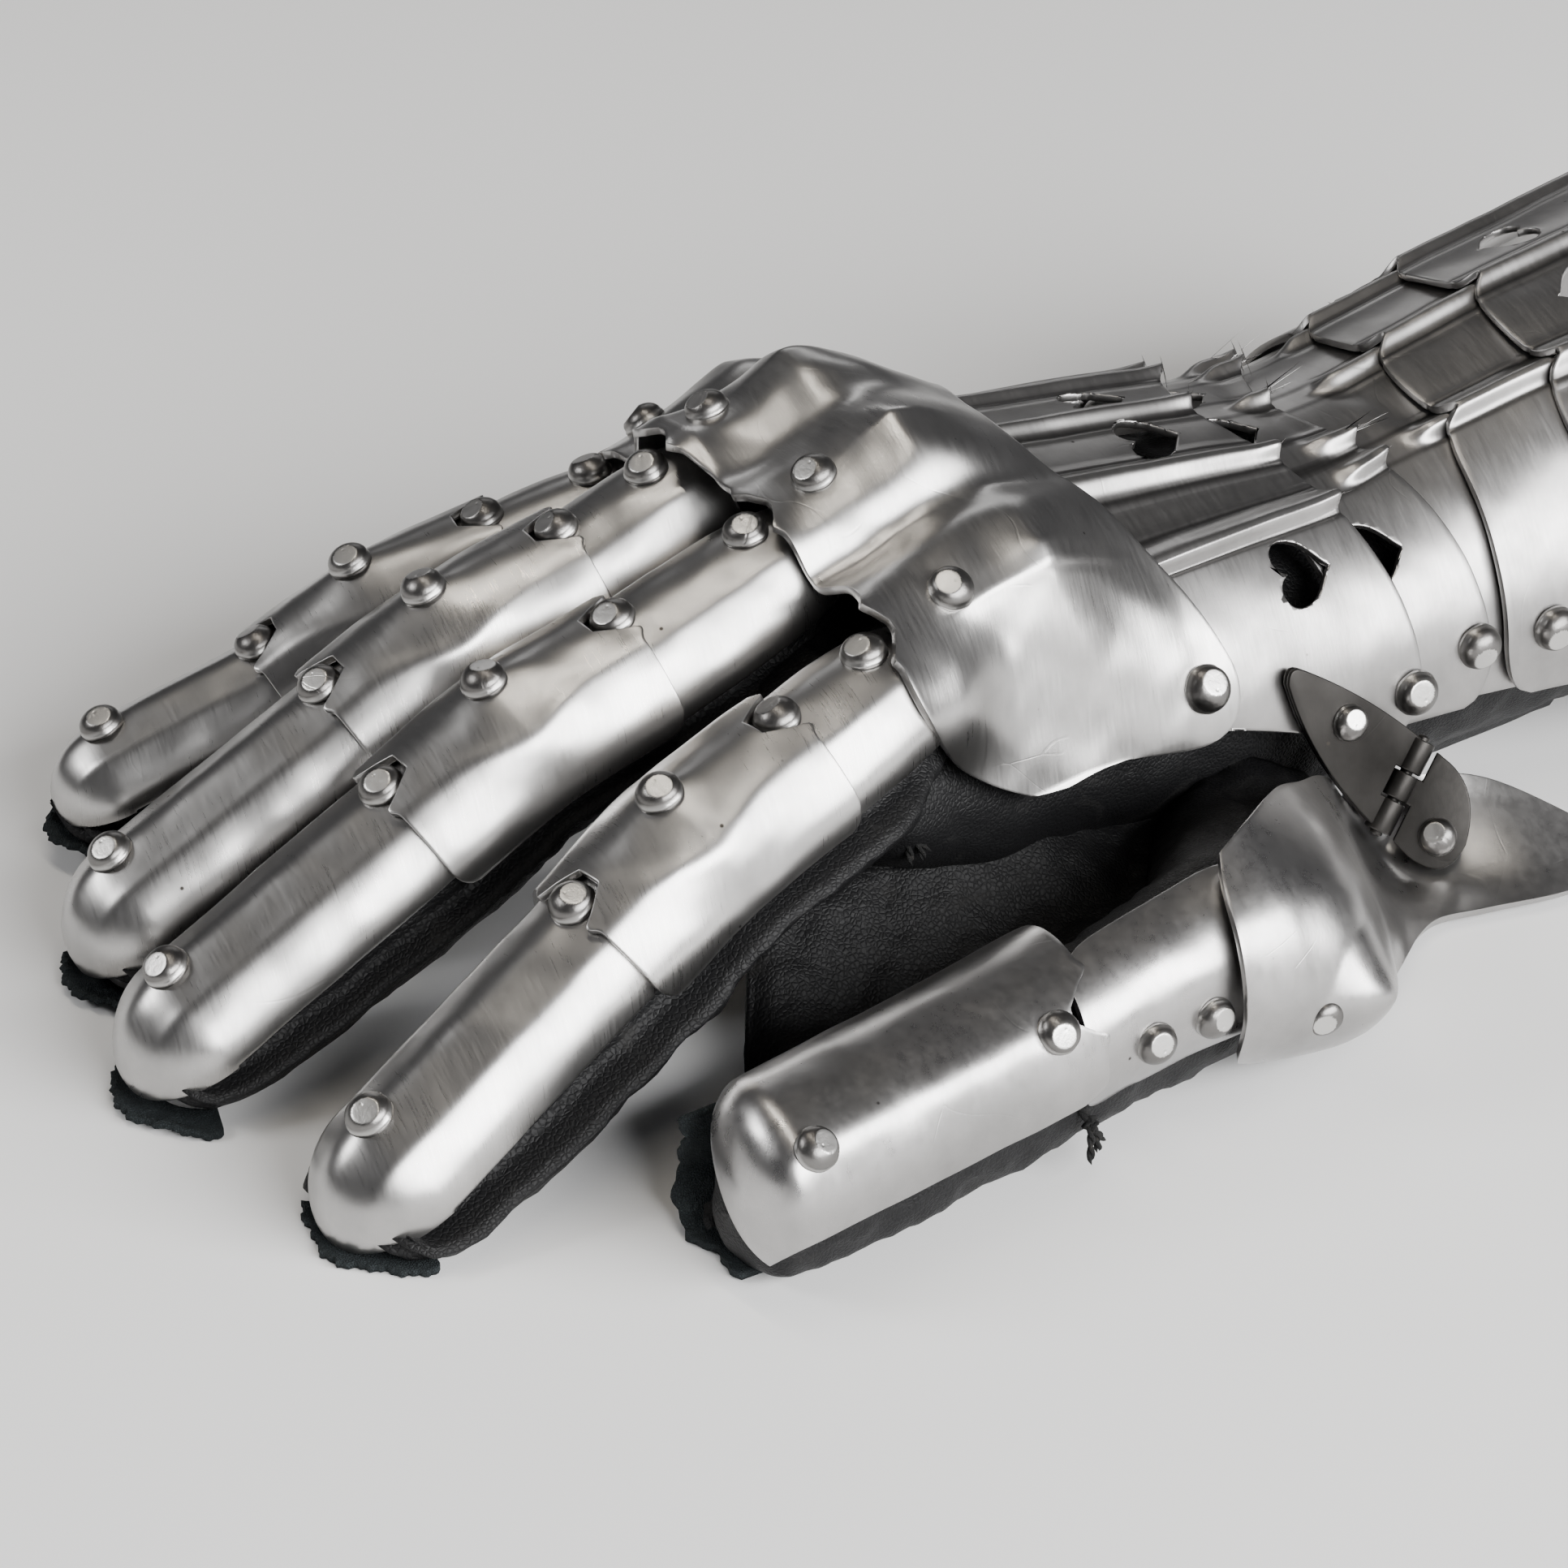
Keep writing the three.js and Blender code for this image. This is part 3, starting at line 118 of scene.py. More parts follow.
# ------------------------------------------------------------------ leather glove
# A thin black glove-leather hand, hollow, open at the wrist, with five sewn stalls. The steel
# is riveted to strips that are sewn over it, and the palm lies flat on the table.
def rows_at(rows, column, x):
    """Smooth value of one column of a table whose first column rises."""
    xs = np.array([row[0] for row in rows], float)
    ys = np.array([row[column] for row in rows], float)
    x = np.asarray(x, float)
    slope = np.empty_like(ys)
    slope[1:-1] = (ys[2:] - ys[:-2]) / (xs[2:] - xs[:-2])
    slope[0] = (ys[1] - ys[0]) / (xs[1] - xs[0])
    slope[-1] = (ys[-1] - ys[-2]) / (xs[-1] - xs[-2])
    i = np.clip(np.searchsorted(xs, x) - 1, 0, len(xs) - 2)
    width = xs[i + 1] - xs[i]
    t = np.clip((x - xs[i]) / width, 0.0, 1.0)
    begin = (1 + 2 * t) * (1 - t) ** 2 * ys[i] + t * (1 - t) ** 2 * width * slope[i]
    finish = t * t * (3 - 2 * t) * ys[i + 1] - t * t * (1 - t) * width * slope[i + 1]
    return begin + finish


def grid_object(name, points, loop=False, masks=None):
    """Mesh object from rows of points in hand millimetres.

    With loop, the last column is joined to the first."""
    rows, columns = points.shape[:2]
    vertices = to_row(points.reshape(-1, 3))
    faces = []
    last = columns if loop else columns - 1
    for i in range(rows - 1):
        for j in range(last):
            k = (j + 1) % columns
            a = i * columns
            faces.append((a + j, a + columns + j, a + columns + k, a + k))
    mesh = bpy.data.meshes.new(name)
    mesh.from_pydata(vertices.tolist(), [], faces)
    for label, values in (masks or {}).items():
        layer = mesh.attributes.new(label, "FLOAT", "POINT")
        layer.data.foreach_set("value", np.asarray(values, np.float32).reshape(-1))
    piece = bpy.data.objects.new(name, mesh)
    bpy.context.scene.collection.objects.link(piece)
    return piece


def baked(piece):
    """Replaces the piece's mesh by what its modifiers make of it."""
    graph = bpy.context.evaluated_depsgraph_get()
    result = bpy.data.meshes.new_from_object(piece.evaluated_get(graph))
    piece.modifiers.clear()
    piece.data = result
    result.name = piece.name
    for polygon in result.polygons:
        polygon.use_smooth = True
    return piece


def wall(piece, thickness):
    solid = piece.modifiers.new("wall", "SOLIDIFY")
    solid.thickness = thickness * 0.001
    solid.offset = -1.0
    return solid


def clip01(value):
    return np.clip(value, 0.0, 1.0)


def smooth01(value):
    t = clip01(value)
    return t * t * (3 - 2 * t)


def hash_noise(points, scale, seed=0.0):
    """Smooth noise from -1 to 1 made of a few crossed waves."""
    p = np.asarray(points, float) * scale + seed
    x, y, z = p[..., 0], p[..., 1], p[..., 2]
    value = np.sin(x * 1.7 + 1.3 * np.sin(y * 1.1 + z * 0.7))
    value = value + np.sin(y * 2.1 + 1.7 * np.sin(z * 0.9 + x * 0.8) + 2.0)
    value = value + np.sin(z * 1.9 + 1.5 * np.sin(x * 1.2 - y * 0.6) + 4.0)
    return value / 3.0


def filled(tree, node, values):
    """Sets or links the node's sockets, by name or number."""
    for socket, value in values.items():
        if isinstance(value, bpy.types.NodeSocket):
            tree.links.new(value, node.inputs[socket])
        else:
            node.inputs[socket].default_value = value
    return node


def placed(tree, kind, values=None, **settings):
    """New node of the tree with its settings and its sockets' values."""
    node = tree.nodes.new(kind)
    for setting, value in settings.items():
        setattr(node, setting, value)
    return filled(tree, node, values or {})


def computed(tree, operation, *terms):
    return placed(tree, "ShaderNodeMath", dict(enumerate(terms)), operation=operation).outputs[0]


def mapped(tree, value, bottom, top):
    """0 at the bottom value, 1 at the top one, held outside them."""
    limits = {"Value": value, "From Min": bottom, "From Max": top}
    return placed(tree, "ShaderNodeMapRange", limits).outputs["Result"]


def mixed(tree, share, first, second):
    colours = {"Factor": share, "A": first, "B": second}
    return placed(tree, "ShaderNodeMix", colours, data_type="RGBA").outputs["Result"]


def new_material(name):
    material = bpy.data.materials.new(name)
    material.use_nodes = True
    return material, material.node_tree, material.node_tree.nodes["Principled BSDF"]


def new_group(name, inputs, outputs):
    """Shader group with the end sockets given as label and kind, and those sockets."""
    group = bpy.data.node_groups.new(name, "ShaderNodeTree")
    for label, kind in inputs.items():
        group.interface.new_socket(label, in_out="INPUT", socket_type=f"NodeSocket{kind}")
    for label in outputs:
        group.interface.new_socket(label, in_out="OUTPUT", socket_type="NodeSocketFloat")
    return (group, group.nodes.new("NodeGroupInput").outputs,
            group.nodes.new("NodeGroupOutput"))


def grain_group():
    """Leather grain and creases: inputs for their scale, outputs a height and a mask."""
    group, given, wanted = new_group("leather_grain", {"Grain scale": "Float",
                                                       "Crease scale": "Float"},
                                     ("Height", "Worn"))
    place = placed(group, "ShaderNodeTexCoord").outputs["Object"]
    cells = placed(group, "ShaderNodeTexVoronoi", {"Vector": place,
                                                   "Scale": given["Grain scale"]},
                   feature="DISTANCE_TO_EDGE")
    creases = placed(group, "ShaderNodeTexNoise", {
        "Vector": place, "Scale": given["Crease scale"], "Detail": 8.0, "Roughness": 0.62,
        "Distortion": 0.8}).outputs["Fac"]
    soft = computed(group, "SMOOTH_MIN", cells.outputs["Distance"], 0.22, 0.15)
    filled(group, wanted, {"Height": computed(group, "MULTIPLY_ADD", soft, 1.6, creases),
                           "Worn": mapped(group, creases, 0.56, 0.75)})
    return group


leather_grain = grain_group()


def leather_look(name, dark, pale, rough, grain, crease, bump):
    """Leather from dark to worn pale; grain and crease are how fine they are."""
    material, tree, shader = new_material(name)
    grained = placed(tree, "ShaderNodeGroup", {"Grain scale": grain, "Crease scale": crease},
                     node_tree=leather_grain).outputs
    roughness = placed(tree, "ShaderNodeMapRange", {
        "Value": grained["Worn"], "To Min": rough, "To Max": rough + 0.2})
    relief = placed(tree, "ShaderNodeBump", {
        "Height": grained["Height"], "Strength": bump, "Distance": 0.0006})
    filled(tree, shader, {"Specular IOR Level": 0.22,
                          "Base Color": mixed(tree, grained["Worn"], dark, pale),
                          "Roughness": roughness.outputs["Result"],
                          "Normal": relief.outputs["Normal"]})
    return material


black_leather = leather_look("black_glove_leather", (0.006, 0.006, 0.0065, 1),
                             (0.017, 0.0165, 0.016, 1), 0.55, 1300.0, 90.0, 0.42)
palm_rows = [
    (-21.0, 30.0, 46.0, 33.0),
    (-17.0, 46.0, 47.0, 27.0),
    (4.0, 44.4, 55.0, 9.0),
    (22.0, 41.0, 58.0, 0.0),
    (50.0, 37.5, 54.0, 0.0),
    (90.0, 34.5, 50.0, 0.0),
    (128.0, 35.0, 51.0, 3.0),
]


def flattened(points, height):
    """Presses leather flat where it would hang lower than a height over the table."""
    points[..., 2] = np.maximum(points[..., 2], height)


def palm_points():
    xs = np.concatenate([[-21.0, -20.0, -18.5], np.linspace(-17, 128, 110)])
    turns = np.linspace(0, 2 * np.pi, 128, endpoint=False)
    x, turned = np.meshgrid(xs, turns, indexing="ij")
    half = rows_at(palm_rows, 1, x)
    top = rows_at(palm_rows, 2, x)
    low = rows_at(palm_rows, 3, x)
    depth = (top - low) / 2 + 2
    y = half * np.sin(turned)
    z = low - 4 + depth + depth * np.cos(turned)
    z = np.where(z < low + 1.5, low + np.maximum(z - low, 0) ** 2 / 6.0, z)
    points = np.stack([x, y, z], -1)
    crease = hash_noise(points, 0.22) * 0.5 + hash_noise(points, 0.6, 3.0) * 0.25
    away = np.stack([np.zeros_like(x), np.sin(turned), np.cos(turned)], -1)
    lift = np.clip((z - 1.0) / 5.0, 0, 1)
    points = points - away * (0.8 - crease)[..., None] * lift[..., None]
    flattened(points, 0.0)
    points[0] = points[0].mean(0) + (points[0] - points[0].mean(0)) * 0.02
    return points[:, ::-1]


glove_hand = grid_object("glove_hand_leather", palm_points(), loop=True)
wall(glove_hand, 1.6)
baked(glove_hand)
glove_hand.data.materials.append(black_leather)
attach(glove_hand, "hand")
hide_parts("glove_hand")

# ------------------------------------------------------------------ finger stalls and strips
# Each finger has a leather stall sewn to the glove, a strip over it that carries the plates,
# and a suede end of that strip that shows under the nose of the last plate.
finger_names = ["index", "middle", "ring", "little"]
knuckle_rivet = {"index": (2.2, -37.0, 62.1), "middle": (-4.2, -9.3, 71.3),
                 "ring": (-7.3, 16.2, 71.7), "little": (-5.3, 39.3, 60.0)}
finger_swing = {"index": 11.0, "middle": 1.8, "ring": -2.2, "little": -11.1}
finger_half = {"index": 12.0, "middle": 12.0, "ring": 11.8, "little": 10.2}
finger_slope = {"index": (11, 18, 17, 30, 29, 40), "middle": (27, 22, 17, 30, 29, 39),
                "ring": (33, 26, 18, 29, 30, 41), "little": (35, 18, 18, 31, 22, 43)}
finger_run = {"index": (16.5, 16.7, 21.4, 18.9, 40.1), "middle": (13.0, 23.8, 21.2, 20.4, 39.5),
              "ring": (12.8, 16.3, 22.0, 20.4, 39.1), "little": (11.9, 18.2, 21.3, 18.9, 26.6)}
stations = ("K", "P2", "P1", "M", "T2", "T1")


def finger_chain(name):
    chain = {"K": np.zeros(2)}
    for i in range(1, 6):
        slope = math.radians(finger_slope[name][i - 1])
        step = np.array([math.cos(slope), -math.sin(slope)]) * finger_run[name][i - 1]
        chain[stations[i]] = chain[stations[i - 1]] + step
    return chain


def on_hand(name, points):
    """Turns points of a finger's own frame, x towards its tip, into the hand's."""
    angle = math.pi + math.radians(finger_swing[name])
    c, s = math.cos(angle), math.sin(angle)
    p = np.asarray(points, float)
    out = np.stack([c * p[..., 0] - s * p[..., 1], s * p[..., 0] + c * p[..., 1], p[..., 2]], -1)
    return out + np.array(knuckle_rivet[name])


def arch(x, z, slope, half, height, angle):
    """Point of a finger's arch: angle from the crest, at a station x, z that slopes down."""
    drop = height * (1 - np.cos(angle))
    return np.stack(np.broadcast_arrays(x - drop * np.sin(slope), half * np.sin(angle),
                                        z - drop * np.cos(slope)), -1)


def tube_points(sections, along, around, ripple, spread=0.0, lip=0.0):
    """Tube through sections (x, y, z, half, depth, slope), its far end closed.

    Its lower half is wider by spread, and runs on under the nose by lip."""
    table = [(i,) + tuple(section) for i, section in enumerate(sections)]
    count = len(sections) - 1
    share = np.linspace(0, count, along)
    turns = np.linspace(0, 2 * np.pi, around, endpoint=False)
    s, turned = np.meshgrid(share, turns, indexing="ij")
    x, y, z, half, depth, slope = (rows_at(table, k, s) for k in range(1, 7))
    close = np.sqrt(np.clip(1 - np.clip((s - (count - 1)) / 1.0, 0, 1) ** 4, 0.0004, 1))
    up = np.cos(turned) * depth * close
    low = smooth01((math.cos(math.radians(99)) - np.cos(turned)) / 0.30)
    out = np.sign(np.sin(turned)) * np.abs(np.sin(turned)) ** (1 - 0.45 * low)
    wide = half + spread * low * smooth01((s - 0.6) / 1.2)
    forward = lip * low * smooth01((s - count + 1.3) / 1.2)
    forward = forward * (1 + 0.25 * np.sin(5 * turned + 1) + 0.15 * np.sin(13 * turned))
    points = np.stack([x + np.sin(slope) * up + forward, y + out * wide * close,
                       z + np.cos(slope) * up], -1)
    centre = np.stack([x, y, z], -1)
    away = points - centre
    length = np.linalg.norm(away, axis=-1, keepdims=True)
    away = away / np.maximum(length, 1e-6)
    wave = hash_noise(points, 0.28) * 0.55 + hash_noise(points, 0.8, 5.0) * 0.3
    return points + away * (ripple * (wave - 0.6) * close)[..., None]


bed = 3.8
stall_slack = {"P2": 0.9, "P1": 0.2, "M": 0.3, "T2": 0.9, "T1": 0.2}


def stall_sections(name):
    chain = finger_chain(name)
    slope = [math.radians(value) for value in finger_slope[name]]
    half = finger_half[name] - 1.8

    def ahead(key, angle, distance):
        return chain[key] + np.array([math.cos(angle), -math.sin(angle)]) * distance

    table = [
        (ahead("P2", slope[1], -14), slope[1], 9.2, 2.2, 0.9),
        (chain["P2"], slope[1], 9.5, 1.4, stall_slack["P2"]),
        (chain["P1"], slope[1], 9.5, 0.0, stall_slack["P1"]),
        (chain["M"], (slope[2] + slope[3]) / 2, 9.5, 0.0, stall_slack["M"]),
        (chain["T2"], slope[3], 9.5, 0.0, stall_slack["T2"]),
        (chain["T1"], slope[4], 8.4, 0.6, stall_slack["T1"]),
        (ahead("T1", slope[4], 7), slope[4], 5.6, 2.2, 0.0),
    ]
    sections = []
    for place, angle, depth, shrink, drop in table:
        sections.append((place[0] - (bed + drop + depth) * math.sin(angle), 0.0,
                         place[1] - (bed + drop + depth) * math.cos(angle),
                         half - shrink, depth, angle))
    return sections


stall_foot = {"index": 7.4, "middle": 5.2, "ring": 5.2, "little": 5.2}
stall_lip = 4.6
for name in finger_names:
    points = tube_points(stall_sections(name), 110, 72, 1.0, stall_foot[name], stall_lip)
    points = on_hand(name, points)
    flattened(points, 0.15)
    stall = grid_object(f"{name}_stall_leather", points, loop=True)
    wall(stall, 1.4)
    baked(stall)
    stall.data.materials.append(black_leather)
    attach(stall, "hand")
    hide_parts(f"glove_stall_{name}")

strip_under = 1.2 + 0.85
for name in finger_names:
    chain = finger_chain(name)
    half = finger_half[name] - strip_under
    rows = []
    for i in range(4):
        a, b = stations[i + 1], stations[i + 2]
        slope = math.radians(finger_slope[name][i + 1])
        for t in np.linspace(0, 1, 8, endpoint=i == 3):
            x, z = chain[a] * (1 - t) + chain[b] * t
            deep = strip_under + stall_slack[a] * (1 - t) + stall_slack[b] * t
            angle = np.radians(np.linspace(-30, 30, 13))
            rows.append(arch(x - deep * math.sin(slope), z - deep * math.cos(slope), slope,
                             half, half * 0.98, angle))
    strip = grid_object(f"{name}_strip_leather", on_hand(name, np.array(rows)))
    wall(strip, 1.2)
    baked(strip)
    strip.data.materials.append(black_leather)
    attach(strip, "hand")
    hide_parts(f"leather_strip_{name}")

# ------------------------------------------------------------------ finger plates
# Three arched plates to a finger, beaten from 1.2 mm sheet and brushed to a satin finish. The
# middle one lies over its neighbours, peaks at the joint and is nicked round their rivets.
sheet_steel = 1.2
arch_end = math.radians(98)
over = sheet_steel + 0.45


def brushed_group():
    """Satin steel: brush lines, cloudy wear, dark specks and scratches, as masks."""
    group, given, wanted = new_group(
        "brushed_steel", {"Line scale": "Float", "Speck amount": "Float",
                          "Cloud scale": "Float", "Stretch": "Vector"},
        ("Lines", "Clouds", "Specks", "Scratches"))
    place = placed(group, "ShaderNodeTexCoord").outputs["Object"]
    stretch = placed(group, "ShaderNodeVectorMath", {0: place, 1: given["Stretch"]},
                     operation="MULTIPLY")
    lines = placed(group, "ShaderNodeTexNoise", {
        "Vector": stretch.outputs[0], "Scale": given["Line scale"], "Detail": 4.0,
        "Roughness": 0.7})
    clouds = placed(group, "ShaderNodeTexNoise", {
        "Vector": place, "Scale": given["Cloud scale"], "Detail": 5.0,
        "Roughness": 0.6}).outputs["Fac"]
    dots = placed(group, "ShaderNodeTexVoronoi", {"Vector": place, "Scale": 260.0}).outputs
    some = placed(group, "ShaderNodeSeparateColor", {"Color": dots["Color"]})
    few = computed(group, "LESS_THAN", some.outputs["Red"], given["Speck amount"])
    warp = placed(group, "ShaderNodeTexNoise", {"Vector": place, "Scale": 25.0})
    bend = placed(group, "ShaderNodeVectorMath", {
        0: warp.outputs["Color"], 1: (0.05, 0.05, 0.05), 2: place}, operation="MULTIPLY_ADD")
    waves = placed(group, "ShaderNodeTexVoronoi", {"Vector": bend.outputs[0], "Scale": 34.0},
                   feature="DISTANCE_TO_EDGE").outputs["Distance"]
    filled(group, wanted, {
        "Lines": lines.outputs["Fac"], "Clouds": clouds,
        "Specks": computed(group, "MULTIPLY", mapped(group, dots["Distance"], 0.10, 0.05), few),
        "Scratches": computed(group, "MULTIPLY", mapped(group, waves, 0.006, 0.002),
                              mapped(group, clouds, 0.52, 0.62))})
    return group


brushed_steel = brushed_group()


def steel_look(name, bright, dull, rough, stretch, specks=0.08, grime=False, bump=0.10):
    """Brushed steel from bright to dull; stretch sets how the brush lines run, and a mask can
    paint shade into it.
    """
    material, tree, shader = new_material(name)
    brushed = placed(tree, "ShaderNodeGroup", {
        "Line scale": 1.0, "Speck amount": specks, "Cloud scale": 55.0,
        "Stretch": stretch}, node_tree=brushed_steel).outputs
    tone = mixed(tree, mapped(tree, brushed["Clouds"], 0.35, 0.7), bright, dull)
    colour = mixed(tree, brushed["Specks"], tone, (0.05, 0.045, 0.04, 1))
    # Painted shade: a mask from the plate darkens the colour towards near black in the grooves
    # beside the flutes and over the panels between them.
    if grime:
        painted_shade_attribute = placed(tree, "ShaderNodeAttribute", attribute_name="grime")
        colour = mixed(tree, painted_shade_attribute.outputs["Fac"], colour, (0.085, 0.082, 0.08, 1))
    uneven = computed(tree, "MULTIPLY_ADD", brushed["Lines"], 0.16, rough - 0.08)
    groove = computed(tree, "MULTIPLY_ADD", brushed["Scratches"], -0.7, brushed["Lines"])
    relief = placed(tree, "ShaderNodeBump", {"Height": groove, "Strength": bump,
                                             "Distance": 0.0002})
    filled(tree, shader, {
        "Metallic": 1.0, "Base Color": colour,
        "Roughness": computed(tree, "MULTIPLY_ADD", brushed["Clouds"], 0.12, uneven),
        "Normal": relief.outputs["Normal"]})
    return material


across_finger = (3200.0, 180.0, 180.0)
finger_steel = steel_look("finger_plate_steel", (0.51, 0.50, 0.49, 1), (0.36, 0.355, 0.35, 1),
                          0.24, across_finger, bump=0.035)


def normals_of(surface, u, v, step=1e-3):
    du = surface(u + step, v) - surface(u - step, v)
    dv = surface(u, v + step) - surface(u, v - step)
    n = np.cross(du, dv)
    return n / np.maximum(np.linalg.norm(n, axis=-1, keepdims=True), 1e-9)


def cut_by(piece, cutter):
    piercing = piece.modifiers.new("cut", "BOOLEAN")
    piercing.operation = "DIFFERENCE"
    piercing.solver = "EXACT"
    piercing.object = cutter


sheet_edge = 0.00022


def edge_softened(piece, width, segments, degrees, clamp=True):
    """Rounds every edge that turns by more than the angle, by a width in metres."""
    rounded = piece.modifiers.new("edges", "BEVEL")
    rounded.width = width
    rounded.segments = segments
    rounded.limit_method = "ANGLE"
    rounded.angle_limit = math.radians(degrees)
    rounded.use_clamp_overlap = clamp


def steel_plate(name, surface, us, vs, node, body, look, cutters=None, masks=None, hammer=0.12):
    """Plate of sheet steel from its outer face, pierced by the cutters, with softened edges."""
    u, v = np.meshgrid(us, vs, indexing="ij")
    points = surface(u, v)
    dents = hash_noise(points, 0.16, 7.0) + 0.5 * hash_noise(points, 0.37, 2.0)
    points = points + normals_of(surface, u, v) * (dents * hammer)[..., None]
    plate = grid_object(name, points, masks={k: f(u, v) for k, f in (masks or {}).items()})
    wall(plate, sheet_steel)
    if cutters:
        cut_by(plate, cutters)
    edge_softened(plate, sheet_edge, 2, 50, clamp=not cutters)
    baked(plate)
    if cutters:
        bpy.data.objects.remove(cutters)
    plate.data.materials.clear()
    plate.data.materials.append(look)
    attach(plate, body)
    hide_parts(node)
    return plate


# Rivets wait here, by body, until the last section sets them: place, direction and size.
rivets = {}


def add_rivet(body, point, aim, size=1.0):
    rivets.setdefault(body, []).append((point, aim, size))


def rivet_on(surface, u, v, body, size=1.0):
    u, v = np.array([float(u)]), np.array([float(v)])
    add_rivet(body, surface(u, v)[0], normals_of(surface, u, v)[0], size)


def corner(side, start, radius):
    t = clip01((side - start) / (1 - start))
    return radius * (1 - np.sqrt(np.maximum(1 - t * t, 0)))


def nick_depth(across):
    """The ogee nick in an edge round the next rivet: cusps at its corners, round inside."""
    bite = 5.2 * clip01(1.7 - np.abs(across) / 3.0)
    cusp = 0.9 * np.exp(-((np.abs(across) - 5.6) / 0.9) ** 2)
    return bite - cusp


def shoulder(v, place):
    """Soft crease along each side of a plate, with a flatter face below it."""
    side = np.abs(v)
    crease = np.exp(-((side - place) / 0.085) ** 2)
    flat = np.exp(-((side - place - 0.27) / 0.17) ** 2)
    return 0.26 * crease - 0.34 * flat


def proximal(name):
    chain = finger_chain(name)
    slope = math.radians(finger_slope[name][1])
    reach_end = finger_run[name][1] + 6

    def surface(u, v):
        reach = -9 + (reach_end + 9) * u
        half = finger_half[name] - 2.6 * clip01(1 - u) ** 4
        x = chain["P2"][0] + reach * math.cos(slope)
        z = chain["P2"][1] - reach * math.sin(slope) - 2.6 * clip01(1 - u) ** 4
        out = shoulder(v, 0.36) * smooth01(u / 0.2)
        return on_hand(name, arch(x + out * math.sin(slope), z + out * math.cos(slope), slope,
                                  half + out, half * 0.98 + out, v * arch_end))

    return surface


def middle(name):
    chain = finger_chain(name)
    slopes = [math.radians(finger_slope[name][2]), math.radians(finger_slope[name][3])]
    half = finger_half[name] + over
    run = finger_run[name]

    def surface(u, v):
        side = np.abs(v)
        rounding = corner(side, 0.8, 3.0)
        across = half * np.sin(v * arch_end)
        start = -run[2] - 1 + nick_depth(across) + rounding
        stop = run[3] + 1 - nick_depth(across) - rounding
        reach = start + (stop - start) * u
        behind = reach < 0
        slope = np.where(behind, slopes[0], slopes[1])
        fade = clip01(np.abs(reach) / np.where(behind, run[2], run[3]))
        ease = smooth01(0.5 + reach / 14.0)
        bend = slopes[0] + (slopes[1] - slopes[0]) * ease
        x = chain["M"][0] + reach * np.cos(slope)
        z = chain["M"][1] - reach * np.sin(slope)
        rise = over * fade + 1.2 * (1 - fade * fade)
        swell = np.exp(-(reach / 8.0) ** 2)
        peak = 1.1 * swell * np.exp(-np.abs(v / 0.30) ** 1.6)
        out = shoulder(v, 0.33 + 0.16 * swell)
        rise = rise + peak + out
        return on_hand(name, arch(x + rise * np.sin(bend), z + rise * np.cos(bend), bend,
                                  half + out, half * 0.98, v * arch_end))

    return surface


nose_start = 0.62


def distal(name):
    chain = finger_chain(name)
    slope = math.radians(finger_slope[name][4])
    half = finger_half[name]
    height = half * 0.98
    nose = half * 1.15
    reach_end = finger_run[name][4] + 1
    centre = chain["T2"] + np.array([math.cos(slope), -math.sin(slope)]) * reach_end

    def surface(u, v):
        angle = v * arch_end * 0.9
        reach = -6 + (reach_end + 6) * np.minimum(u / nose_start, 1.0)
        ridge = 0.5 * np.exp(-(v / 0.16) ** 2) * smooth01((u - 0.02) / 0.2)
        ridge = ridge + shoulder(v, 0.42) * smooth01((u - 0.02) / 0.1)
        ridge = ridge * smooth01((1.05 - u) / 0.3)
        x = chain["T2"][0] + reach * math.cos(slope) + ridge * math.sin(slope)
        z = chain["T2"][1] - reach * math.sin(slope) + ridge * math.cos(slope)
        trunk = arch(x, z, slope, half, height, angle)
        fan = clip01((u - nose_start) / (1 - nose_start)) * np.pi / 2
        forward = nose * np.cos(angle) * np.sin(fan)
        up = height * np.cos(angle) * np.cos(fan) - height + ridge
        cap = np.stack([centre[0] + forward * math.cos(slope) + up * math.sin(slope),
                        half * np.sin(angle) + 0 * u,
                        centre[1] - forward * math.sin(slope) + up * math.cos(slope)], -1)
        points = np.where((u <= nose_start)[..., None], trunk, cap)
        return on_hand(name, points)

    return surface


def along_finger(surface, name, key):
    """Share of the plate's length at which its crest passes a rivet's place."""
    chain = finger_chain(name)
    target = on_hand(name, np.array([chain[key][0], 0.0, chain[key][1]]))
    u = np.linspace(0, 1, 801)
    crest = surface(u, np.zeros_like(u))
    return u[np.argmin(np.linalg.norm(crest - target, axis=-1))]


even_columns = np.linspace(-1, 1, 81)
nick_columns = np.unique(np.concatenate([np.linspace(-1, -0.42, 22), np.linspace(-0.42, 0.42, 75),
                                         np.linspace(0.42, 1, 22)]))
nose_rows = np.concatenate([np.linspace(0, nose_start, 60),
                            nose_start + (1 - nose_start) * np.linspace(0, 1, 42)[1:]])
for name in finger_names:
    near, joint, tip = proximal(name), middle(name), distal(name)
    steel_plate(f"{name}_proximal_steel", near, np.linspace(0, 1, 48), even_columns,
                f"{name}_proximal_plate", "hand", finger_steel)
    steel_plate(f"{name}_middle_steel", joint, np.linspace(0, 1, 90), nick_columns,
                f"{name}_middle_plate", "hand", finger_steel)
    steel_plate(f"{name}_distal_steel", tip, nose_rows, even_columns,
                f"{name}_distal_plate", "hand", finger_steel)
    rivet_on(near, along_finger(near, name, "P2"), 0, "hand")
    rivet_on(near, along_finger(near, name, "P1"), 0, "hand")
    rivet_on(joint, along_finger(joint, name, "M"), 0, "hand")
    rivet_on(tip, along_finger(tip, name, "T2"), 0, "hand")
    rivet_on(tip, along_finger(tip, name, "T1"), 0, "hand")

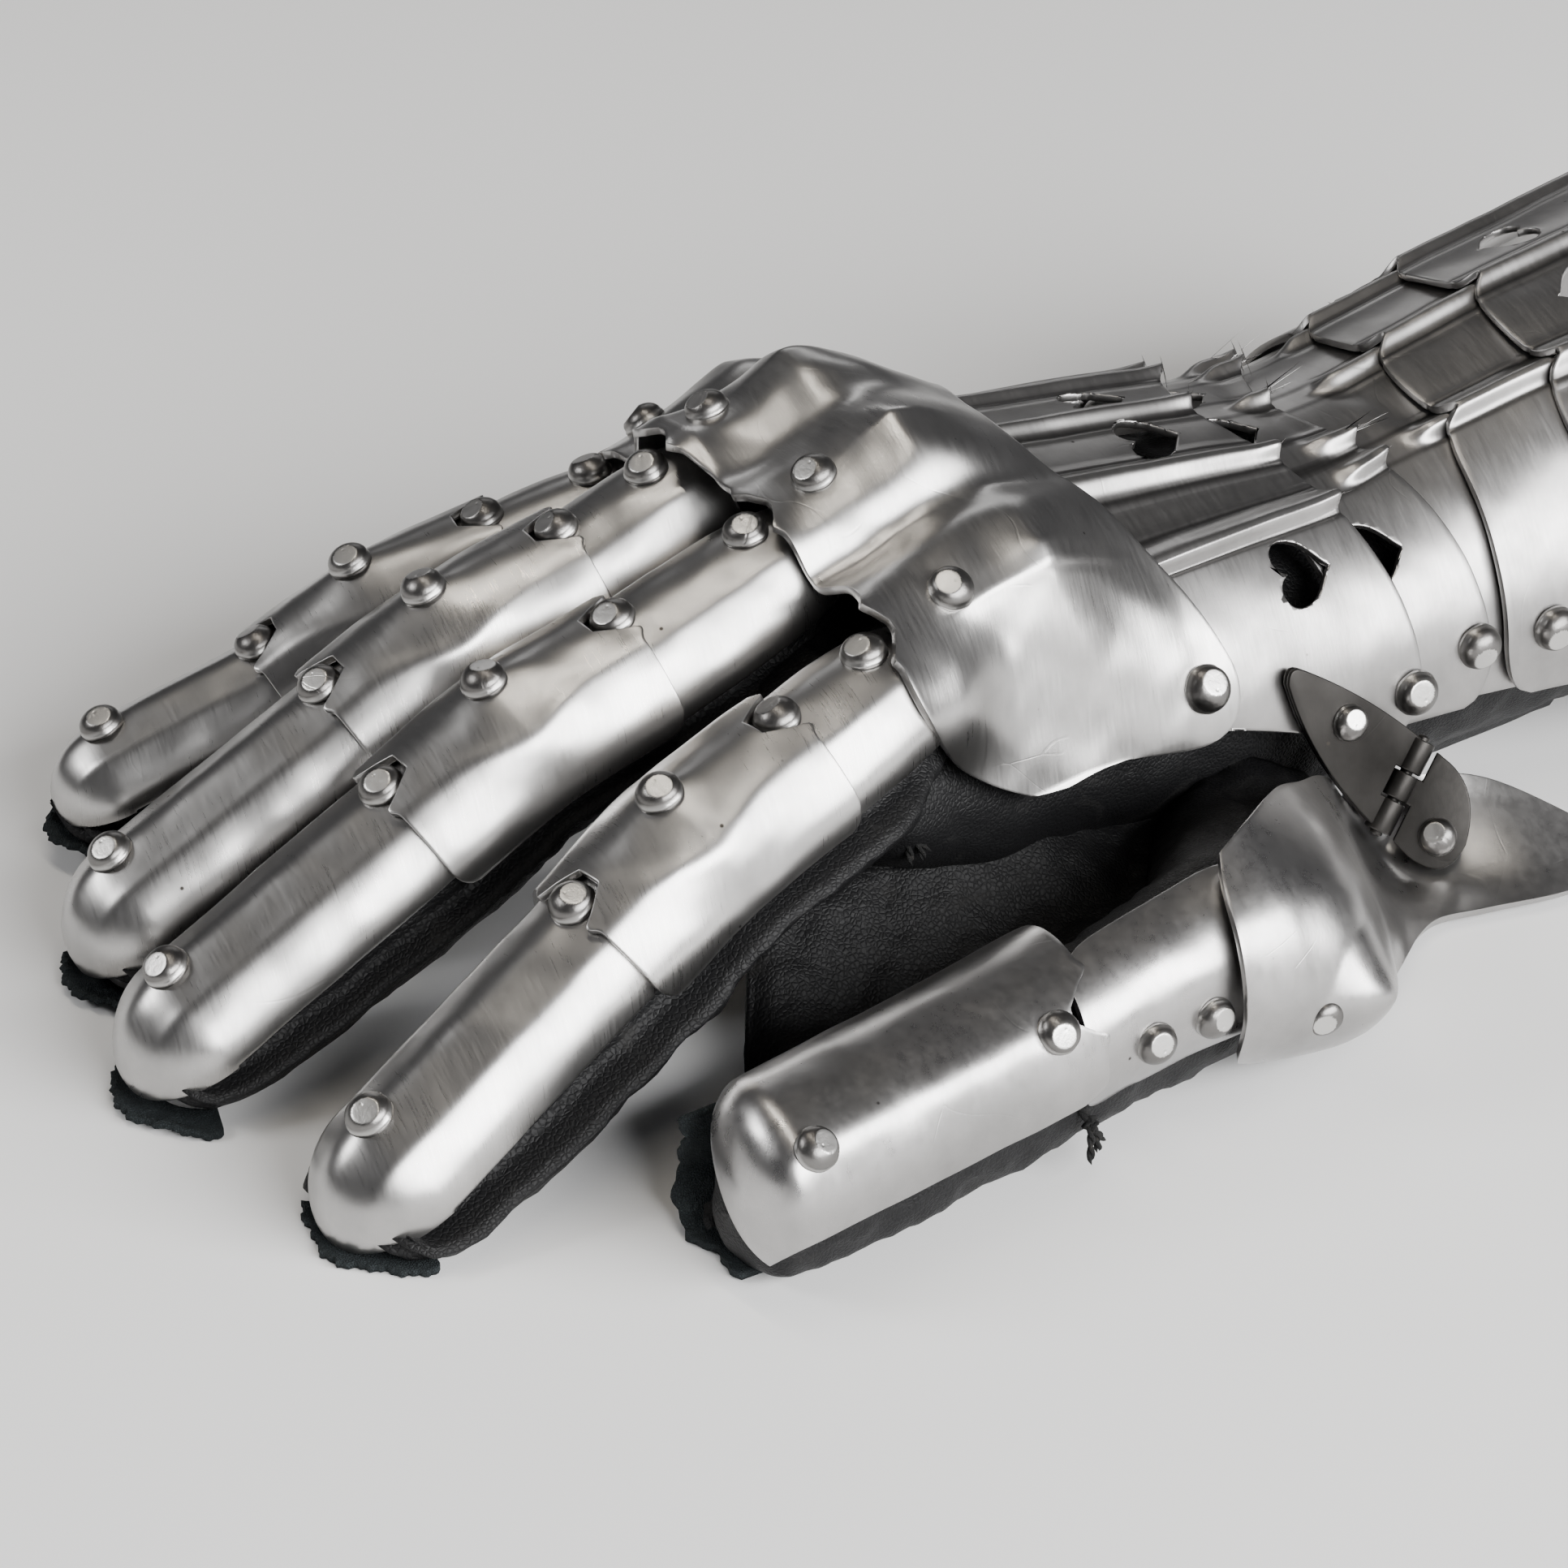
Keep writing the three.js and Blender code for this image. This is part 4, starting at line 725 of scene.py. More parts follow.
# ------------------------------------------------------------------ suede ends
# The strips end in raw suede tongues that stick out from under the fingertips, slate grey and
# frayed, a little curled.
suede = leather_look("slate_suede", (0.020, 0.025, 0.027, 1), (0.055, 0.066, 0.069, 1), 0.9,
                     2600.0, 500.0, 1.0)
for name in finger_names:
    slope = math.radians(finger_slope[name][4])
    chain = finger_chain(name)
    run_out = finger_run[name][4] + 1
    middle_x = chain["T2"][0] + math.cos(slope) * run_out
    middle_z = chain["T2"][1] - math.sin(slope) * run_out
    crest = finger_half[name] * 0.98
    u, v = np.meshgrid(np.linspace(0, 1, 26), np.linspace(-1, 1, 61), indexing="ij")
    turn = np.radians(12 + 62 * v)
    ragged = 0.6 * np.sin(7 * v + 2) + 0.3 * np.sin(23 * v) + 0.25 * np.sin(61 * v)
    reach = -4.0 + (5.6 + ragged * u) * u
    nose_x = middle_x - crest * math.sin(slope) + (finger_half[name] * 1.15 * math.cos(slope)
                                                   + reach) * np.cos(turn)
    nose_y = (finger_half[name] + reach) * np.sin(turn)
    sag = middle_z - crest * math.cos(slope) - finger_half[name] * 1.15 * math.sin(slope)
    curl = 1.4 * u * u + 0.35 * np.sin(7 * v + 4 * u) * u
    points = on_hand(name, np.stack([nose_x, nose_y, sag - 2.4 - 1.2 * np.abs(v) + curl], -1))
    flattened(points, 1.3)
    tongue = grid_object(f"{name}_suede_end", points)
    wall(tongue, 1.1)
    baked(tongue)
    tongue.data.materials.append(suede)
    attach(tongue, "hand")
    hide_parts(f"suede_tab_{name}")

# ------------------------------------------------------------------ knuckle plate
# One sheet beaten into four pointed bosses over the finger joints, with a long wing on each
# side, riveted to the finger strips in front and to the metacarpal plate behind.
knuckle_rows = [
    (-16, 57.5, 51.5, 25), (-4, 63.0, 51.0, 25), (8, 69.0, 50.0, 25),
    (20, 71.0, 48.8, 26), (34, 69.2, 48.2, 26), (50, 67.2, 47.8, 26),
]
boss_table = {
    "index": dict(angle=-39.5, width=14, outer=26, front=13.8, peak=6.0, x=17, end=42, nick=-8.2),
    "middle": dict(angle=-9.3, width=13, outer=13, front=10.4, peak=7.8, x=8, end=34, nick=-11.0),
    "ring": dict(angle=15.4, width=13, outer=13, front=13.2, peak=10.5, x=4, end=34, nick=-14.0),
    "little": dict(angle=42.5, width=14, outer=26, front=9.2, peak=9.0, x=8, end=38, nick=-10.8),
}
knuckle_end = 82.0
knuckle_steel = steel_look("knuckle_plate_steel", (0.52, 0.51, 0.50, 1), (0.36, 0.355, 0.35, 1),
                           0.25, (1900.0, 160.0, 160.0))


def boss_rise(x, degrees):
    rise = np.zeros(np.broadcast(x, degrees).shape)
    for boss in boss_table.values():
        outside = (np.abs(degrees) > abs(boss["angle"])) & (degrees * boss["angle"] > 0)
        width = np.where(outside, boss["outer"], boss["width"])
        across = (degrees - boss["angle"]) / width
        ahead = np.clip((boss["x"] - x) / (boss["x"] + 10), 0, 1.2)
        behind = clip01((x - boss["x"]) / (boss["end"] - boss["x"]))
        fall = 1 - behind * behind * (3 - 2 * behind)
        height = boss["peak"] + (boss["front"] - boss["peak"]) * ahead * ahead
        rise = rise + height * fall * np.exp(-1.1 * across ** 4)
        point = np.exp(-np.abs((x - boss["x"] - 1) / 6.5) ** 1.5 - np.abs(across / 0.40) ** 1.3)
        rise = rise + 2.1 * point
        hug = np.exp(-((x + 12.0) / 7.0) ** 2)
        rise = rise - 0.9 * hug * np.exp(-across ** 2)
    return rise


def knuckle_edge(which, degrees):
    side = np.abs(degrees) / knuckle_end
    if which == "rear":
        sweep = np.sin(np.radians(np.abs(degrees)))
        return 27.5 + 23 * sweep ** 1.6 - corner(side, 0.8, 9)
    angles = np.array([boss["angle"] for boss in boss_table.values()])
    nicks = np.array([boss["nick"] for boss in boss_table.values()])
    line = np.interp(degrees, angles, nicks)
    near = np.abs(np.asarray(degrees)[..., None] - angles).min(-1)
    bite = 2.8 - 1.9 * clip01(1.25 - near / 3.2) + 0.7 * np.exp(-((near - 5.0) / 0.9) ** 2)
    valley = 1.5 * clip01((near - 5) / 8) * (side < 0.5)
    wing = 21 * clip01((side - 0.56) / 0.44) ** 1.7
    return line - bite + valley + wing + corner(side, 0.9, 6)


def knuckle_surface(u, v, flatten=True):
    front = knuckle_edge("front", v)
    x = front + (knuckle_edge("rear", v) - front) * u
    rise = boss_rise(x, v)
    half = rows_at(knuckle_rows, 2, x) + rise
    spring = rows_at(knuckle_rows, 3, x)
    height = rows_at(knuckle_rows, 1, x) + rise - spring
    arc = np.stack([x + 0 * v, half * np.sin(np.radians(v)),
                    spring + height * np.cos(np.radians(v))], -1)
    if not flatten:
        return arc
    top, low = -43.0, -80.0
    share = clip01((v - top) / (low - top))
    chord = (knuckle_surface(u, np.full_like(v, top), False) * (1 - share)[..., None]
             + knuckle_surface(u, np.full_like(v, low), False) * share[..., None])
    weight = 0.85 * (v < top) * smooth01((x + 3.0) / 13.0) * (1 - smooth01((x - 26.0) / 14.0))
    flat = np.stack([x, chord[..., 1], chord[..., 2]], -1)
    return arc * (1 - weight)[..., None] + flat * weight[..., None]


def knuckle_share(x, degrees):
    d = np.array([float(degrees)])
    front, rear = knuckle_edge("front", d), knuckle_edge("rear", d)
    return float((x - front[0]) / (rear[0] - front[0]))


steel_plate("knuckle_steel", knuckle_surface, np.linspace(0, 1, 90),
            np.linspace(-knuckle_end, knuckle_end, 260), "knuckle_plate", "hand", knuckle_steel,
            hammer=0.18)
for name in finger_names:
    angle = boss_table[name]["angle"]
    rivet_on(knuckle_surface, knuckle_share(knuckle_rivet[name][0], angle), angle, "hand")
for angle in (-70.5, 70.5):
    rivet_on(knuckle_surface, knuckle_share(42.1, angle), angle, "hand", 1.08)

# ------------------------------------------------------------------ fluted plates
# Five overlapping plates from the hand to the flared cuff. Narrow flutes run over them and
# carry on from plate to plate, and three of them are pierced with hearts.
back_rows = [
    (15, 66.5, 46.6, 26), (40, 64.3, 45.4, 26), (60, 62.6, 44.6, 26), (78, 61.0, 43.8, 26),
    (92, 62.2, 43.4, 26), (105, 65.6, 43.4, 25), (122, 70.0, 44.4, 24), (145, 74.6, 48.0, 23),
    (175, 80.5, 54.0, 23), (205, 87.0, 60.5, 23),
]
nest = 2.0
bend_angle = 60.0
side_angle = 95.0
fluted = {
    "metacarpal_plate_1": dict(level=0, front=20, front_sweep=17, rear=67, rear_sweep=17,
                               low=(33, 21), fan=(0, 20.5, 45), flutes=(0, 20.5, 36), begin=0,
                               nicked=False, body="hand"),
    "metacarpal_plate_2": dict(level=-1, front=62.5, front_sweep=11, rear=82, rear_sweep=17,
                               low=(21, 20.5), fan=(0, 20.5, 35), flutes=(0, 20.5, 28.5),
                               begin=13, nicked=False, body="metacarpal_plate_2"),
    "wrist_lame": dict(level=-2, front=78, front_sweep=13, rear=114, rear_sweep=2,
                       low=(21, 20), fan=(0, 27), flutes=(0, 27), begin=13, nicked=False,
                       body="wrist_lame"),
    "cuff_lame": dict(level=-1, front=102, front_sweep=0, rear=127, rear_sweep=7,
                      low=(20, 19), fan=(0, 27), flutes=(0, 27), begin=0, nicked=True,
                      body="cuff_lame"),
    "cuff_plate": dict(level=0, front=120, front_sweep=0, rear=205, rear_sweep=0,
                       low=(18, 10), fan=(0, 27, 54), flutes=(0, 27, 50), begin=0, nicked=True,
                       body="cuff_plate"),
}


def back_point(x, degrees, height):
    half = rows_at(back_rows, 2, x) + height
    spring = rows_at(back_rows, 3, x)
    rise = rows_at(back_rows, 1, x) + height - spring
    angle = np.radians(np.clip(degrees, -90, 90))
    skirt = np.radians(np.maximum(np.abs(degrees) - 90, 0)) * half
    return np.stack([x + 0 * angle, half * np.sin(angle),
                     spring + rise * np.cos(angle) - skirt], -1)


def angle_at_height(x, z, height):
    spring = rows_at(back_rows, 3, x)
    rise = rows_at(back_rows, 1, x) + height - spring
    above = np.degrees(np.arccos(np.clip((z - spring) / rise, -1, 1)))
    below = 90 + np.degrees((spring - z) / (rows_at(back_rows, 2, x) + height))
    return np.where(z > spring, above, below)


def flute_distance(plate, degrees):
    gaps = [np.abs(np.abs(degrees) - flute) * math.radians(44) for flute in plate["flutes"]]
    return np.min(gaps, axis=0)


def plate_edge(plate, which, degrees):
    side = np.minimum(np.abs(degrees) / side_angle, 1)
    sweep = np.sin(np.radians(np.minimum(np.abs(degrees), 90)))
    apart = flute_distance(plate, degrees)
    if which == "front":
        edge = plate["front"] + plate["front_sweep"] * sweep + corner(side, 0.86, 5)
        if plate["nicked"]:
            edge = edge + 2.0 * np.exp(-(apart / 1.5) ** 2) + 1.5 * np.exp(-(apart / 5.0) ** 2)
        return edge
    edge = plate["rear"] + plate["rear_sweep"] * sweep - corner(side, 0.86, 5)
    if not plate["nicked"]:
        edge = edge + 1.5 * np.exp(-(apart / 1.5) ** 2)
    return edge


def fanned(plate, u, degrees):
    knots = list(plate["flutes"]) + [bend_angle]
    bent = [plate["fan"][i] + (flute - plate["fan"][i]) * u
            for i, flute in enumerate(plate["flutes"])] + [bend_angle]
    result = bent[-2] + (bent[-1] - bent[-2]) * (degrees - knots[-2]) / (knots[-1] - knots[-2])
    for i in range(len(knots) - 3, -1, -1):
        part = bent[i] + (bent[i + 1] - bent[i]) * (degrees - knots[i]) / (knots[i + 1] - knots[i])
        result = np.where(degrees <= knots[i + 1], part, result)
    return result


def fluted_surface(plate):
    def surface(u, v):
        front = plate_edge(plate, "front", v)
        x = front + (plate_edge(plate, "rear", v) - front) * u
        level = plate["level"] * nest
        size = np.abs(v)
        low = plate["low"][0] + (plate["low"][1] - plate["low"][0]) * u
        share = (size - bend_angle) / (side_angle - bend_angle)
        lower = bend_angle + (angle_at_height(x, low, level) - bend_angle) * share
        degrees = np.where(size <= bend_angle, fanned(plate, u, size), lower)
        apart = flute_distance(plate, v)
        grown = smooth01((x - front - plate["begin"]) / 5.0) if plate["begin"] else 1.0
        end = clip01((u - 0.9) / 0.1)
        crest = (1.75 + 0.25 * end) * (1 - smooth01((apart - 0.25) / (2.35 - 0.35 * end)))
        panel = np.where(size < plate["flutes"][-1], 0.5, 0.0) * clip01((apart - 2.6) / 2.0)
        groove = 0.22 * np.exp(-((apart - 3.0) / 0.5) ** 2)
        return back_point(x, np.sign(v) * degrees, level + grown * (crest - panel - groove))

    return surface


# Mask of painted shade for a fluted plate: strong in the groove beside each flute, where it stands
# in for shade, and weaker over the panels, where it stands in for their darker reflections.
def painted_shade_beside_flutes(plate):
    def grime(u, v):
        apart = flute_distance(plate, v)
        close = np.exp(-((apart - 2.9) / 0.7) ** 2)
        panel = 0.30 * (np.abs(v) < plate["flutes"][-1]) * np.exp(-apart / 9.0)
        return np.clip(0.62 * close + panel * (apart > 2.0), 0, 1)

    return grime


def heart_outline():
    """Half of a heart with a drawn-out point, in millimetres, mirrored by the caller."""
    tip, lean, swell, top = (5.6, 0.0), (3.9, 1.2), (2.6, 4.9), (-0.92, 5.31)
    points = []
    for t in np.linspace(0, 1, 12):
        weights = ((1 - t) ** 3, 3 * t * (1 - t) ** 2, 3 * t * t * (1 - t), t ** 3)
        points.append(tuple(sum(w * p[k] for w, p in zip(weights, (tip, lean, swell, top)))
                            for k in range(2)))
    for angle in np.radians(np.linspace(80, 232, 15)):
        points.append((-1.62 + 2.7 * math.cos(angle), 2.7 + 2.7 * math.sin(angle)))
    points.append((-2.35, 0.0))
    return points


def heart_cutters(name, surface, plate, places, ahead):
    half = heart_outline()
    outline = half + [(x, -y) for x, y in half[-2:0:-1]]
    vertices, faces = [], []
    for angle, place in places:
        front = plate_edge(plate, "front", np.array([angle]))[0]
        rear = plate_edge(plate, "rear", np.array([angle]))[0]
        u, v = np.array([(place - front) / (rear - front)]), np.array([float(angle)])
        point, normal = surface(u, v)[0], normals_of(surface, u, v)[0]
        lead = np.array([ahead, 0, 0]) - normal * normal[0] * ahead
        lead /= np.linalg.norm(lead)
        across = np.cross(normal, lead)
        base, count = len(vertices), len(outline)
        for height in (-6.0, 5.0):
            for a, b in outline:
                vertices.append(point + lead * a + across * b + normal * height)
        faces.append(tuple(range(base + count - 1, base - 1, -1)))
        faces.append(tuple(range(base + count, base + 2 * count)))
        for i in range(count):
            j = (i + 1) % count
            faces.append((base + i, base + j, base + count + j, base + count + i))
    mesh = bpy.data.meshes.new(name)
    mesh.from_pydata(to_row(np.array(vertices)).tolist(), [], faces)
    cutter = bpy.data.objects.new(name, mesh)
    bpy.context.scene.collection.objects.link(cutter)
    cutter.hide_render = True
    return cutter


def fluted_columns(plate):
    values = [np.linspace(-side_angle, side_angle, 150)]
    for flute in plate["flutes"]:
        near = np.linspace(-6, 6, 49)
        values += [flute + near, -flute + near]
    columns = np.unique(np.round(np.concatenate(values), 3))
    keep = [columns[0]]
    for value in columns[1:]:
        if value - keep[-1] > 0.16:
            keep.append(value)
    return np.array(keep)


fluted_steel = steel_look("fluted_plate_steel", (0.42, 0.41, 0.405, 1), (0.27, 0.265, 0.26, 1),
                          0.29, (1500.0, 170.0, 170.0), grime=True)
for plate_name, plate in fluted.items():
    surface = fluted_surface(plate)
    cutter = None
    if plate_name in ("metacarpal_plate_1", "metacarpal_plate_2"):
        places = [(a, plate_edge(plate, "rear", np.array([float(a)]))[0] - 14)
                  for a in (-50, -10, 10, 50)]
        cutter = heart_cutters(f"{plate_name}_hearts", surface, plate, places, 1)
    if plate_name == "cuff_plate":
        places = [(a, 137.0) for a in (-39, -13.5, 13.5, 39)]
        cutter = heart_cutters(f"{plate_name}_hearts", surface, plate, places, -1)
    # Each plate carries its mask of painted shade beside the flutes.
    length = plate["rear"] - plate["front"]
    steel_plate(f"{plate_name}_steel", surface, np.linspace(0, 1, int(length / 0.9)),
                fluted_columns(plate), plate_name, plate["body"], fluted_steel, cutters=cutter,
                masks={"grime": painted_shade_beside_flutes(plate)},
                hammer=0.10)

pivot_table = [("hand", 82.2, 27.9, 0), ("metacarpal_plate_2", 96.0, 31.0, -1),
               ("cuff_lame", 110.5, 30.5, -1), ("cuff_plate", 128.5, 31.0, 0)]
for body, x, z, level in pivot_table:
    angle = angle_at_height(np.array([x]), np.array([z]), level * nest)
    spot = back_point(np.array([x]), angle, level * nest)[0]
    for sign in (-1, 1):
        place = np.array([x, sign * abs(spot[1]) + sign * 0.2, z])
        add_rivet(body, place, np.array([0.0, sign, 0.0]), 1.06)

# ------------------------------------------------------------------ thumb plates
# Three plates of their own on the thumb: a long tip, a narrow one under the joint, and a base
# plate that swells into a pointed knuckle and sweeps back along the ball of the thumb.
thumb_rows = [
    (-58, -90.3, 14.9, 13.6), (-15, -83.2, 17.0, 14.4), (0, -80.5, 18.6, 14.8),
    (13, -78.5, 20.0, 15.4), (26, -77.2, 21.2, 16.6),
]
thumb_facing = 47.0


def thumb_point(x, degrees, lift):
    radius = rows_at(thumb_rows, 3, x) + lift
    return np.stack([x + 0 * degrees,
                     rows_at(thumb_rows, 1, x) - radius * np.sin(np.radians(degrees)),
                     rows_at(thumb_rows, 2, x) + radius * np.cos(np.radians(degrees))], -1)


def thumb_tip_surface(u, v):
    turn = np.where(v < 0, v * 90.0, v * 54.0)
    nick = 4.5 * clip01(1.25 - np.abs(turn) / 15.0) - 0.7 * np.exp(-((np.abs(turn) - 21) / 4) ** 2)
    ridge = 0.45 * np.exp(-(turn / 13.0) ** 2) * smooth01((1.02 - u) / 0.3)
    rear = -7.5 - nick + corner(np.abs(v), 0.8, 4.0) * -1
    x = rear + (-57 - rear) * np.minimum(u / nose_start, 1)
    trunk = thumb_point(x, thumb_facing + turn, ridge)
    fan = clip01((u - nose_start) / (1 - nose_start)) * np.pi / 2
    centre = np.array([-57.0, -90.13, 14.95])
    radius = 13.6 + ridge
    facing = np.array([0, -math.sin(math.radians(thumb_facing)),
                       math.cos(math.radians(thumb_facing))])
    lateral = np.array([0, -math.cos(math.radians(thumb_facing)),
                        -math.sin(math.radians(thumb_facing))])
    outward = np.array([-0.985, -0.17, 0.0])
    angle = np.radians(turn)
    cap = (centre + facing * (radius * np.cos(angle) * np.cos(fan))[..., None]
           + lateral * (radius * np.sin(angle))[..., None]
           + outward * (8.5 * np.maximum(np.cos(angle), 0.02) * np.sin(fan))[..., None])
    return np.where((u <= nose_start)[..., None], trunk, cap)


def thumb_middle_surface(u, v):
    rounding = corner(np.abs(2 * v - 1), 0.62, 7)
    x = 24 - rounding + (-9.5 + rounding - 24 + rounding) * u
    return thumb_point(x, 8 + 122 * v, -over)


base_rows = [
    (16, -86.5, 7.0, -92.3, 12.5, -94.2, 20.0, -91.0, 30.0, -83.0, 36.0),
    (26, -87.0, 5.0, -93.5, 10.5, -95.5, 18.5, -90.5, 30.5, -78.0, 38.5),
    (38, -86.0, 4.0, -93.0, 10.0, -93.5, 18.0, -85.0, 29.5, -68.0, 35.0),
    (49, -80.5, 3.5, -83.0, 9.0, -80.5, 15.5, -71.0, 24.0, -59.0, 28.5),
    (58, -74.5, 2.8, -71.5, 7.0, -66.5, 11.5, -58.5, 18.0, -51.0, 23.0),
    (66, -69.0, 2.2, -62.0, 4.5, -54.5, 7.6, -48.4, 12.5, -45.8, 17.6),
    (72, -66.5, 1.8, -58.5, 2.8, -51.5, 5.0, -47.0, 9.5, -45.6, 16.0),
    (80, -67.5, 1.6, -60.5, 3.2, -54.8, 6.2, -50.0, 10.8, -46.8, 15.5),
    (92, -69.5, 1.8, -64.5, 4.0, -59.5, 6.8, -54.8, 10.0, -51.0, 13.0),
    (106, -69.0, 2.2, -67.5, 2.9, -66.0, 3.7, -64.5, 4.5, -63.0, 5.4),
]


def base_surface(u, v):
    v = 1 - v
    front = 16 + 5 * (2 * v - 1.1) ** 4
    x = front + (106 - front) * u * (0.85 + 0.15 * u)
    ys = np.stack([rows_at(base_rows, 1 + 2 * i, x) for i in range(5)])
    zs = np.stack([rows_at(base_rows, 2 + 2 * i, x) for i in range(5)])

    def between(values):
        slope = np.empty_like(values)
        slope[1:-1] = (values[2:] - values[:-2]) * 2
        slope[0] = (values[1] - values[0]) * 4
        slope[-1] = (values[-1] - values[-2]) * 4
        place = np.clip((v * 4).astype(int), 0, 3)
        t = np.clip(v * 4 - place, 0, 1)
        take = lambda table, k: np.take_along_axis(table, (place + k)[None], 0)[0]
        return ((1 + 2 * t) * (1 - t) ** 2 * take(values, 0)
                + t * (1 - t) ** 2 * 0.25 * take(slope, 0)
                + t * t * (3 - 2 * t) * take(values, 1)
                - t * t * (1 - t) * 0.25 * take(slope, 1))

    point = np.stack([x, between(ys), between(zs)], -1)
    away = np.hypot((x - 39) / 11, (v - 0.42) / 0.22)
    rise = 3.2 * np.maximum(0, 1 - away) ** 1.1
    return point + rise[..., None] * np.array([0.2, -0.9, 0.3])


pin_low = np.array([71.0, -51.2, 10.5])
pin_high = np.array([80.0, -49.2, 22.8])
pin_length = float(np.linalg.norm(pin_high - pin_low))
pin_axis = (pin_high - pin_low) / pin_length


def leaf_frame(towards):
    out = np.array(towards) - pin_low
    out = out - pin_axis * (out @ pin_axis)
    out /= np.linalg.norm(out)
    return out, np.cross(pin_axis, out)


def bowed(start, control, stop, count=14):
    t = np.linspace(0, 1, count)[:, None]
    start, control, stop = (np.array(p, float) for p in (start, control, stop))
    return [tuple(p) for p in (1 - t) ** 2 * start + 2 * t * (1 - t) * control + t * t * stop]


upper_out, upper_normal = leaf_frame((66.8, -47.0, 28.2))
lower_out, lower_normal = leaf_frame((78.3, -57.2, 9.4))
L = pin_length
leaf_side = (bowed((L, 0), (L + 2.5, 14), (16.5, 26))[1:]
             + bowed((16.5, 26), (16.2, 28.5), (13.5, 27), 6)[1:]
             + bowed((13.5, 27), (4.5, 17), (0, 0))[1:-1])
upper_outline = [(0, 0), (5.2, 0), (5.2, 2.8), (L - 5.2, 2.8), (L - 5.2, 0), (L, 0)] + leaf_side
lower_outline = ([(-0.3, 2.8), (5.6, 2.8), (5.6, 0), (L - 5.6, 0), (L - 5.6, 2.8),
                  (L - 0.6, 2.8)]
                 + bowed((L - 0.8, 2.8), (14, 11), (4, 13))[1:]
                 + bowed((4, 13), (-3, 13), (-1.5, 6))[1:])


def slab(outline, out, normal, centre, thick, turned=0.0):
    """Vertices and faces of a flat leaf between centre - thick/2 and centre + thick/2."""
    vertices, faces, count = [], [], len(outline)
    spin = np.array(Matrix.Rotation(math.radians(turned), 3, Vector(pin_axis)))
    for level in (centre - thick / 2, centre + thick / 2):
        for a, b in outline:
            vertices.append(pin_low + spin @ (pin_axis * a + out * b + normal * level))
    faces.append(tuple(range(count - 1, -1, -1)))
    faces.append(tuple(range(count, 2 * count)))
    for i in range(count):
        j = (i + 1) % count
        faces.append((i, j, count + j, count + i))
    return vertices, faces


def turned_about_pin(profile, sides=28):
    """Closed ring turned about the pin from (place along it, radius) pairs."""
    side = np.cross(pin_axis, upper_out)
    vertices, faces, count = [], [], len(profile)
    for i in range(sides):
        angle = 2 * math.pi * i / sides
        aim = upper_out * math.cos(angle) + side * math.sin(angle)
        for place, radius in profile:
            vertices.append(pin_low + pin_axis * place + aim * radius)
    for i in range(sides):
        k = (i + 1) % sides
        for j in range(count):
            m = (j + 1) % count
            faces.append((i * count + j, i * count + m, k * count + m, k * count + j))
    return vertices, faces


def joined(name, parts):
    vertices, faces = [], []
    for some_vertices, some_faces in parts:
        base = len(vertices)
        vertices += list(some_vertices)
        faces += [tuple(base + k for k in face) for face in some_faces]
    mesh = bpy.data.meshes.new(name)
    mesh.from_pydata(to_row(np.array(vertices)).tolist(), [], faces)
    mesh.validate()
    piece = bpy.data.objects.new(name, mesh)
    bpy.context.scene.collection.objects.link(piece)
    return piece


thumb_steel = steel_look("thumb_plate_steel", (0.47, 0.46, 0.455, 1), (0.33, 0.325, 0.32, 1),
                         0.24, (600.0, 500.0, 160.0), specks=0.07)
steel_plate("thumb_tip_steel", thumb_tip_surface, nose_rows, even_columns, "thumb_tip_plate",
            "thumb", thumb_steel)
steel_plate("thumb_middle_steel", thumb_middle_surface, np.linspace(0, 1, 40),
            np.linspace(0, 1, 70), "thumb_middle_plate", "thumb", thumb_steel)

u, v = np.meshgrid(np.linspace(0, 1, 110), np.linspace(0, 1, 90), indexing="ij")
points = base_surface(u, v)
points = points + normals_of(base_surface, u, v) * (hash_noise(points, 0.15, 4.0) * 0.2)[..., None]
thumb_base = grid_object("thumb_base_steel", points)
wall(thumb_base, sheet_steel)
clearances = [joined("barrel_clearance", [turned_about_pin([(-1.3, 0.01), (-1.3, 2.75),
                                                            (L + 1.3, 2.75), (L + 1.3, 0.01)])])]
full_outline = [(0, 0), (L, 0)] + leaf_side
for share in (0, 0.33, 0.67, 1):
    clearances.append(joined("leaf_clearance", [slab(full_outline, upper_out, upper_normal, 0.0,
                                                     3.5, -share * 21.0)]))
for clearance in clearances:
    cut_by(thumb_base, clearance)
edge_softened(thumb_base, sheet_edge, 2, 50)
baked(thumb_base)
for clearance in clearances:
    bpy.data.objects.remove(clearance)
thumb_base.data.materials.clear()
thumb_base.data.materials.append(thumb_steel)
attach(thumb_base, "thumb")
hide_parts("thumb_base_plate")

for x, degrees, lift in ((-56, thumb_facing, 0.4), (-15, thumb_facing + 4, 0.4), (2, 92, -over),
                         (12.5, 96, -over)):
    aim = np.array([0, -math.sin(math.radians(degrees)), math.cos(math.radians(degrees))])
    spot = thumb_point(np.array([float(x)]), np.array([float(degrees)]), lift)[0]
    add_rivet("thumb", spot, aim, 0.9)
aim = np.array([-0.05, -0.98, -0.2])
add_rivet("thumb", np.array([29, -95.4, 15.5]), aim / np.linalg.norm(aim), 0.9)

# ------------------------------------------------------------------ thumb leather
# The thumb of the glove under its plates, sewn on at the palm, and the soft fork of leather
# between the thumb and the hand.
thumb_root = [
    (62, -33, 10.5, 14, 10, 0), (46, -50, 12.5, 13.5, 11, 0), (26, -72, 17.5, 12, 12, 0),
    (0, -80, 16.5, 10.6, 10.6, 0), (-30, -85.6, 14.6, 10.2, 10.2, 0),
    (-56, -90, 13.0, 9.2, 9.2, 0), (-64, -91.4, 11.5, 6, 6.5, 0),
]


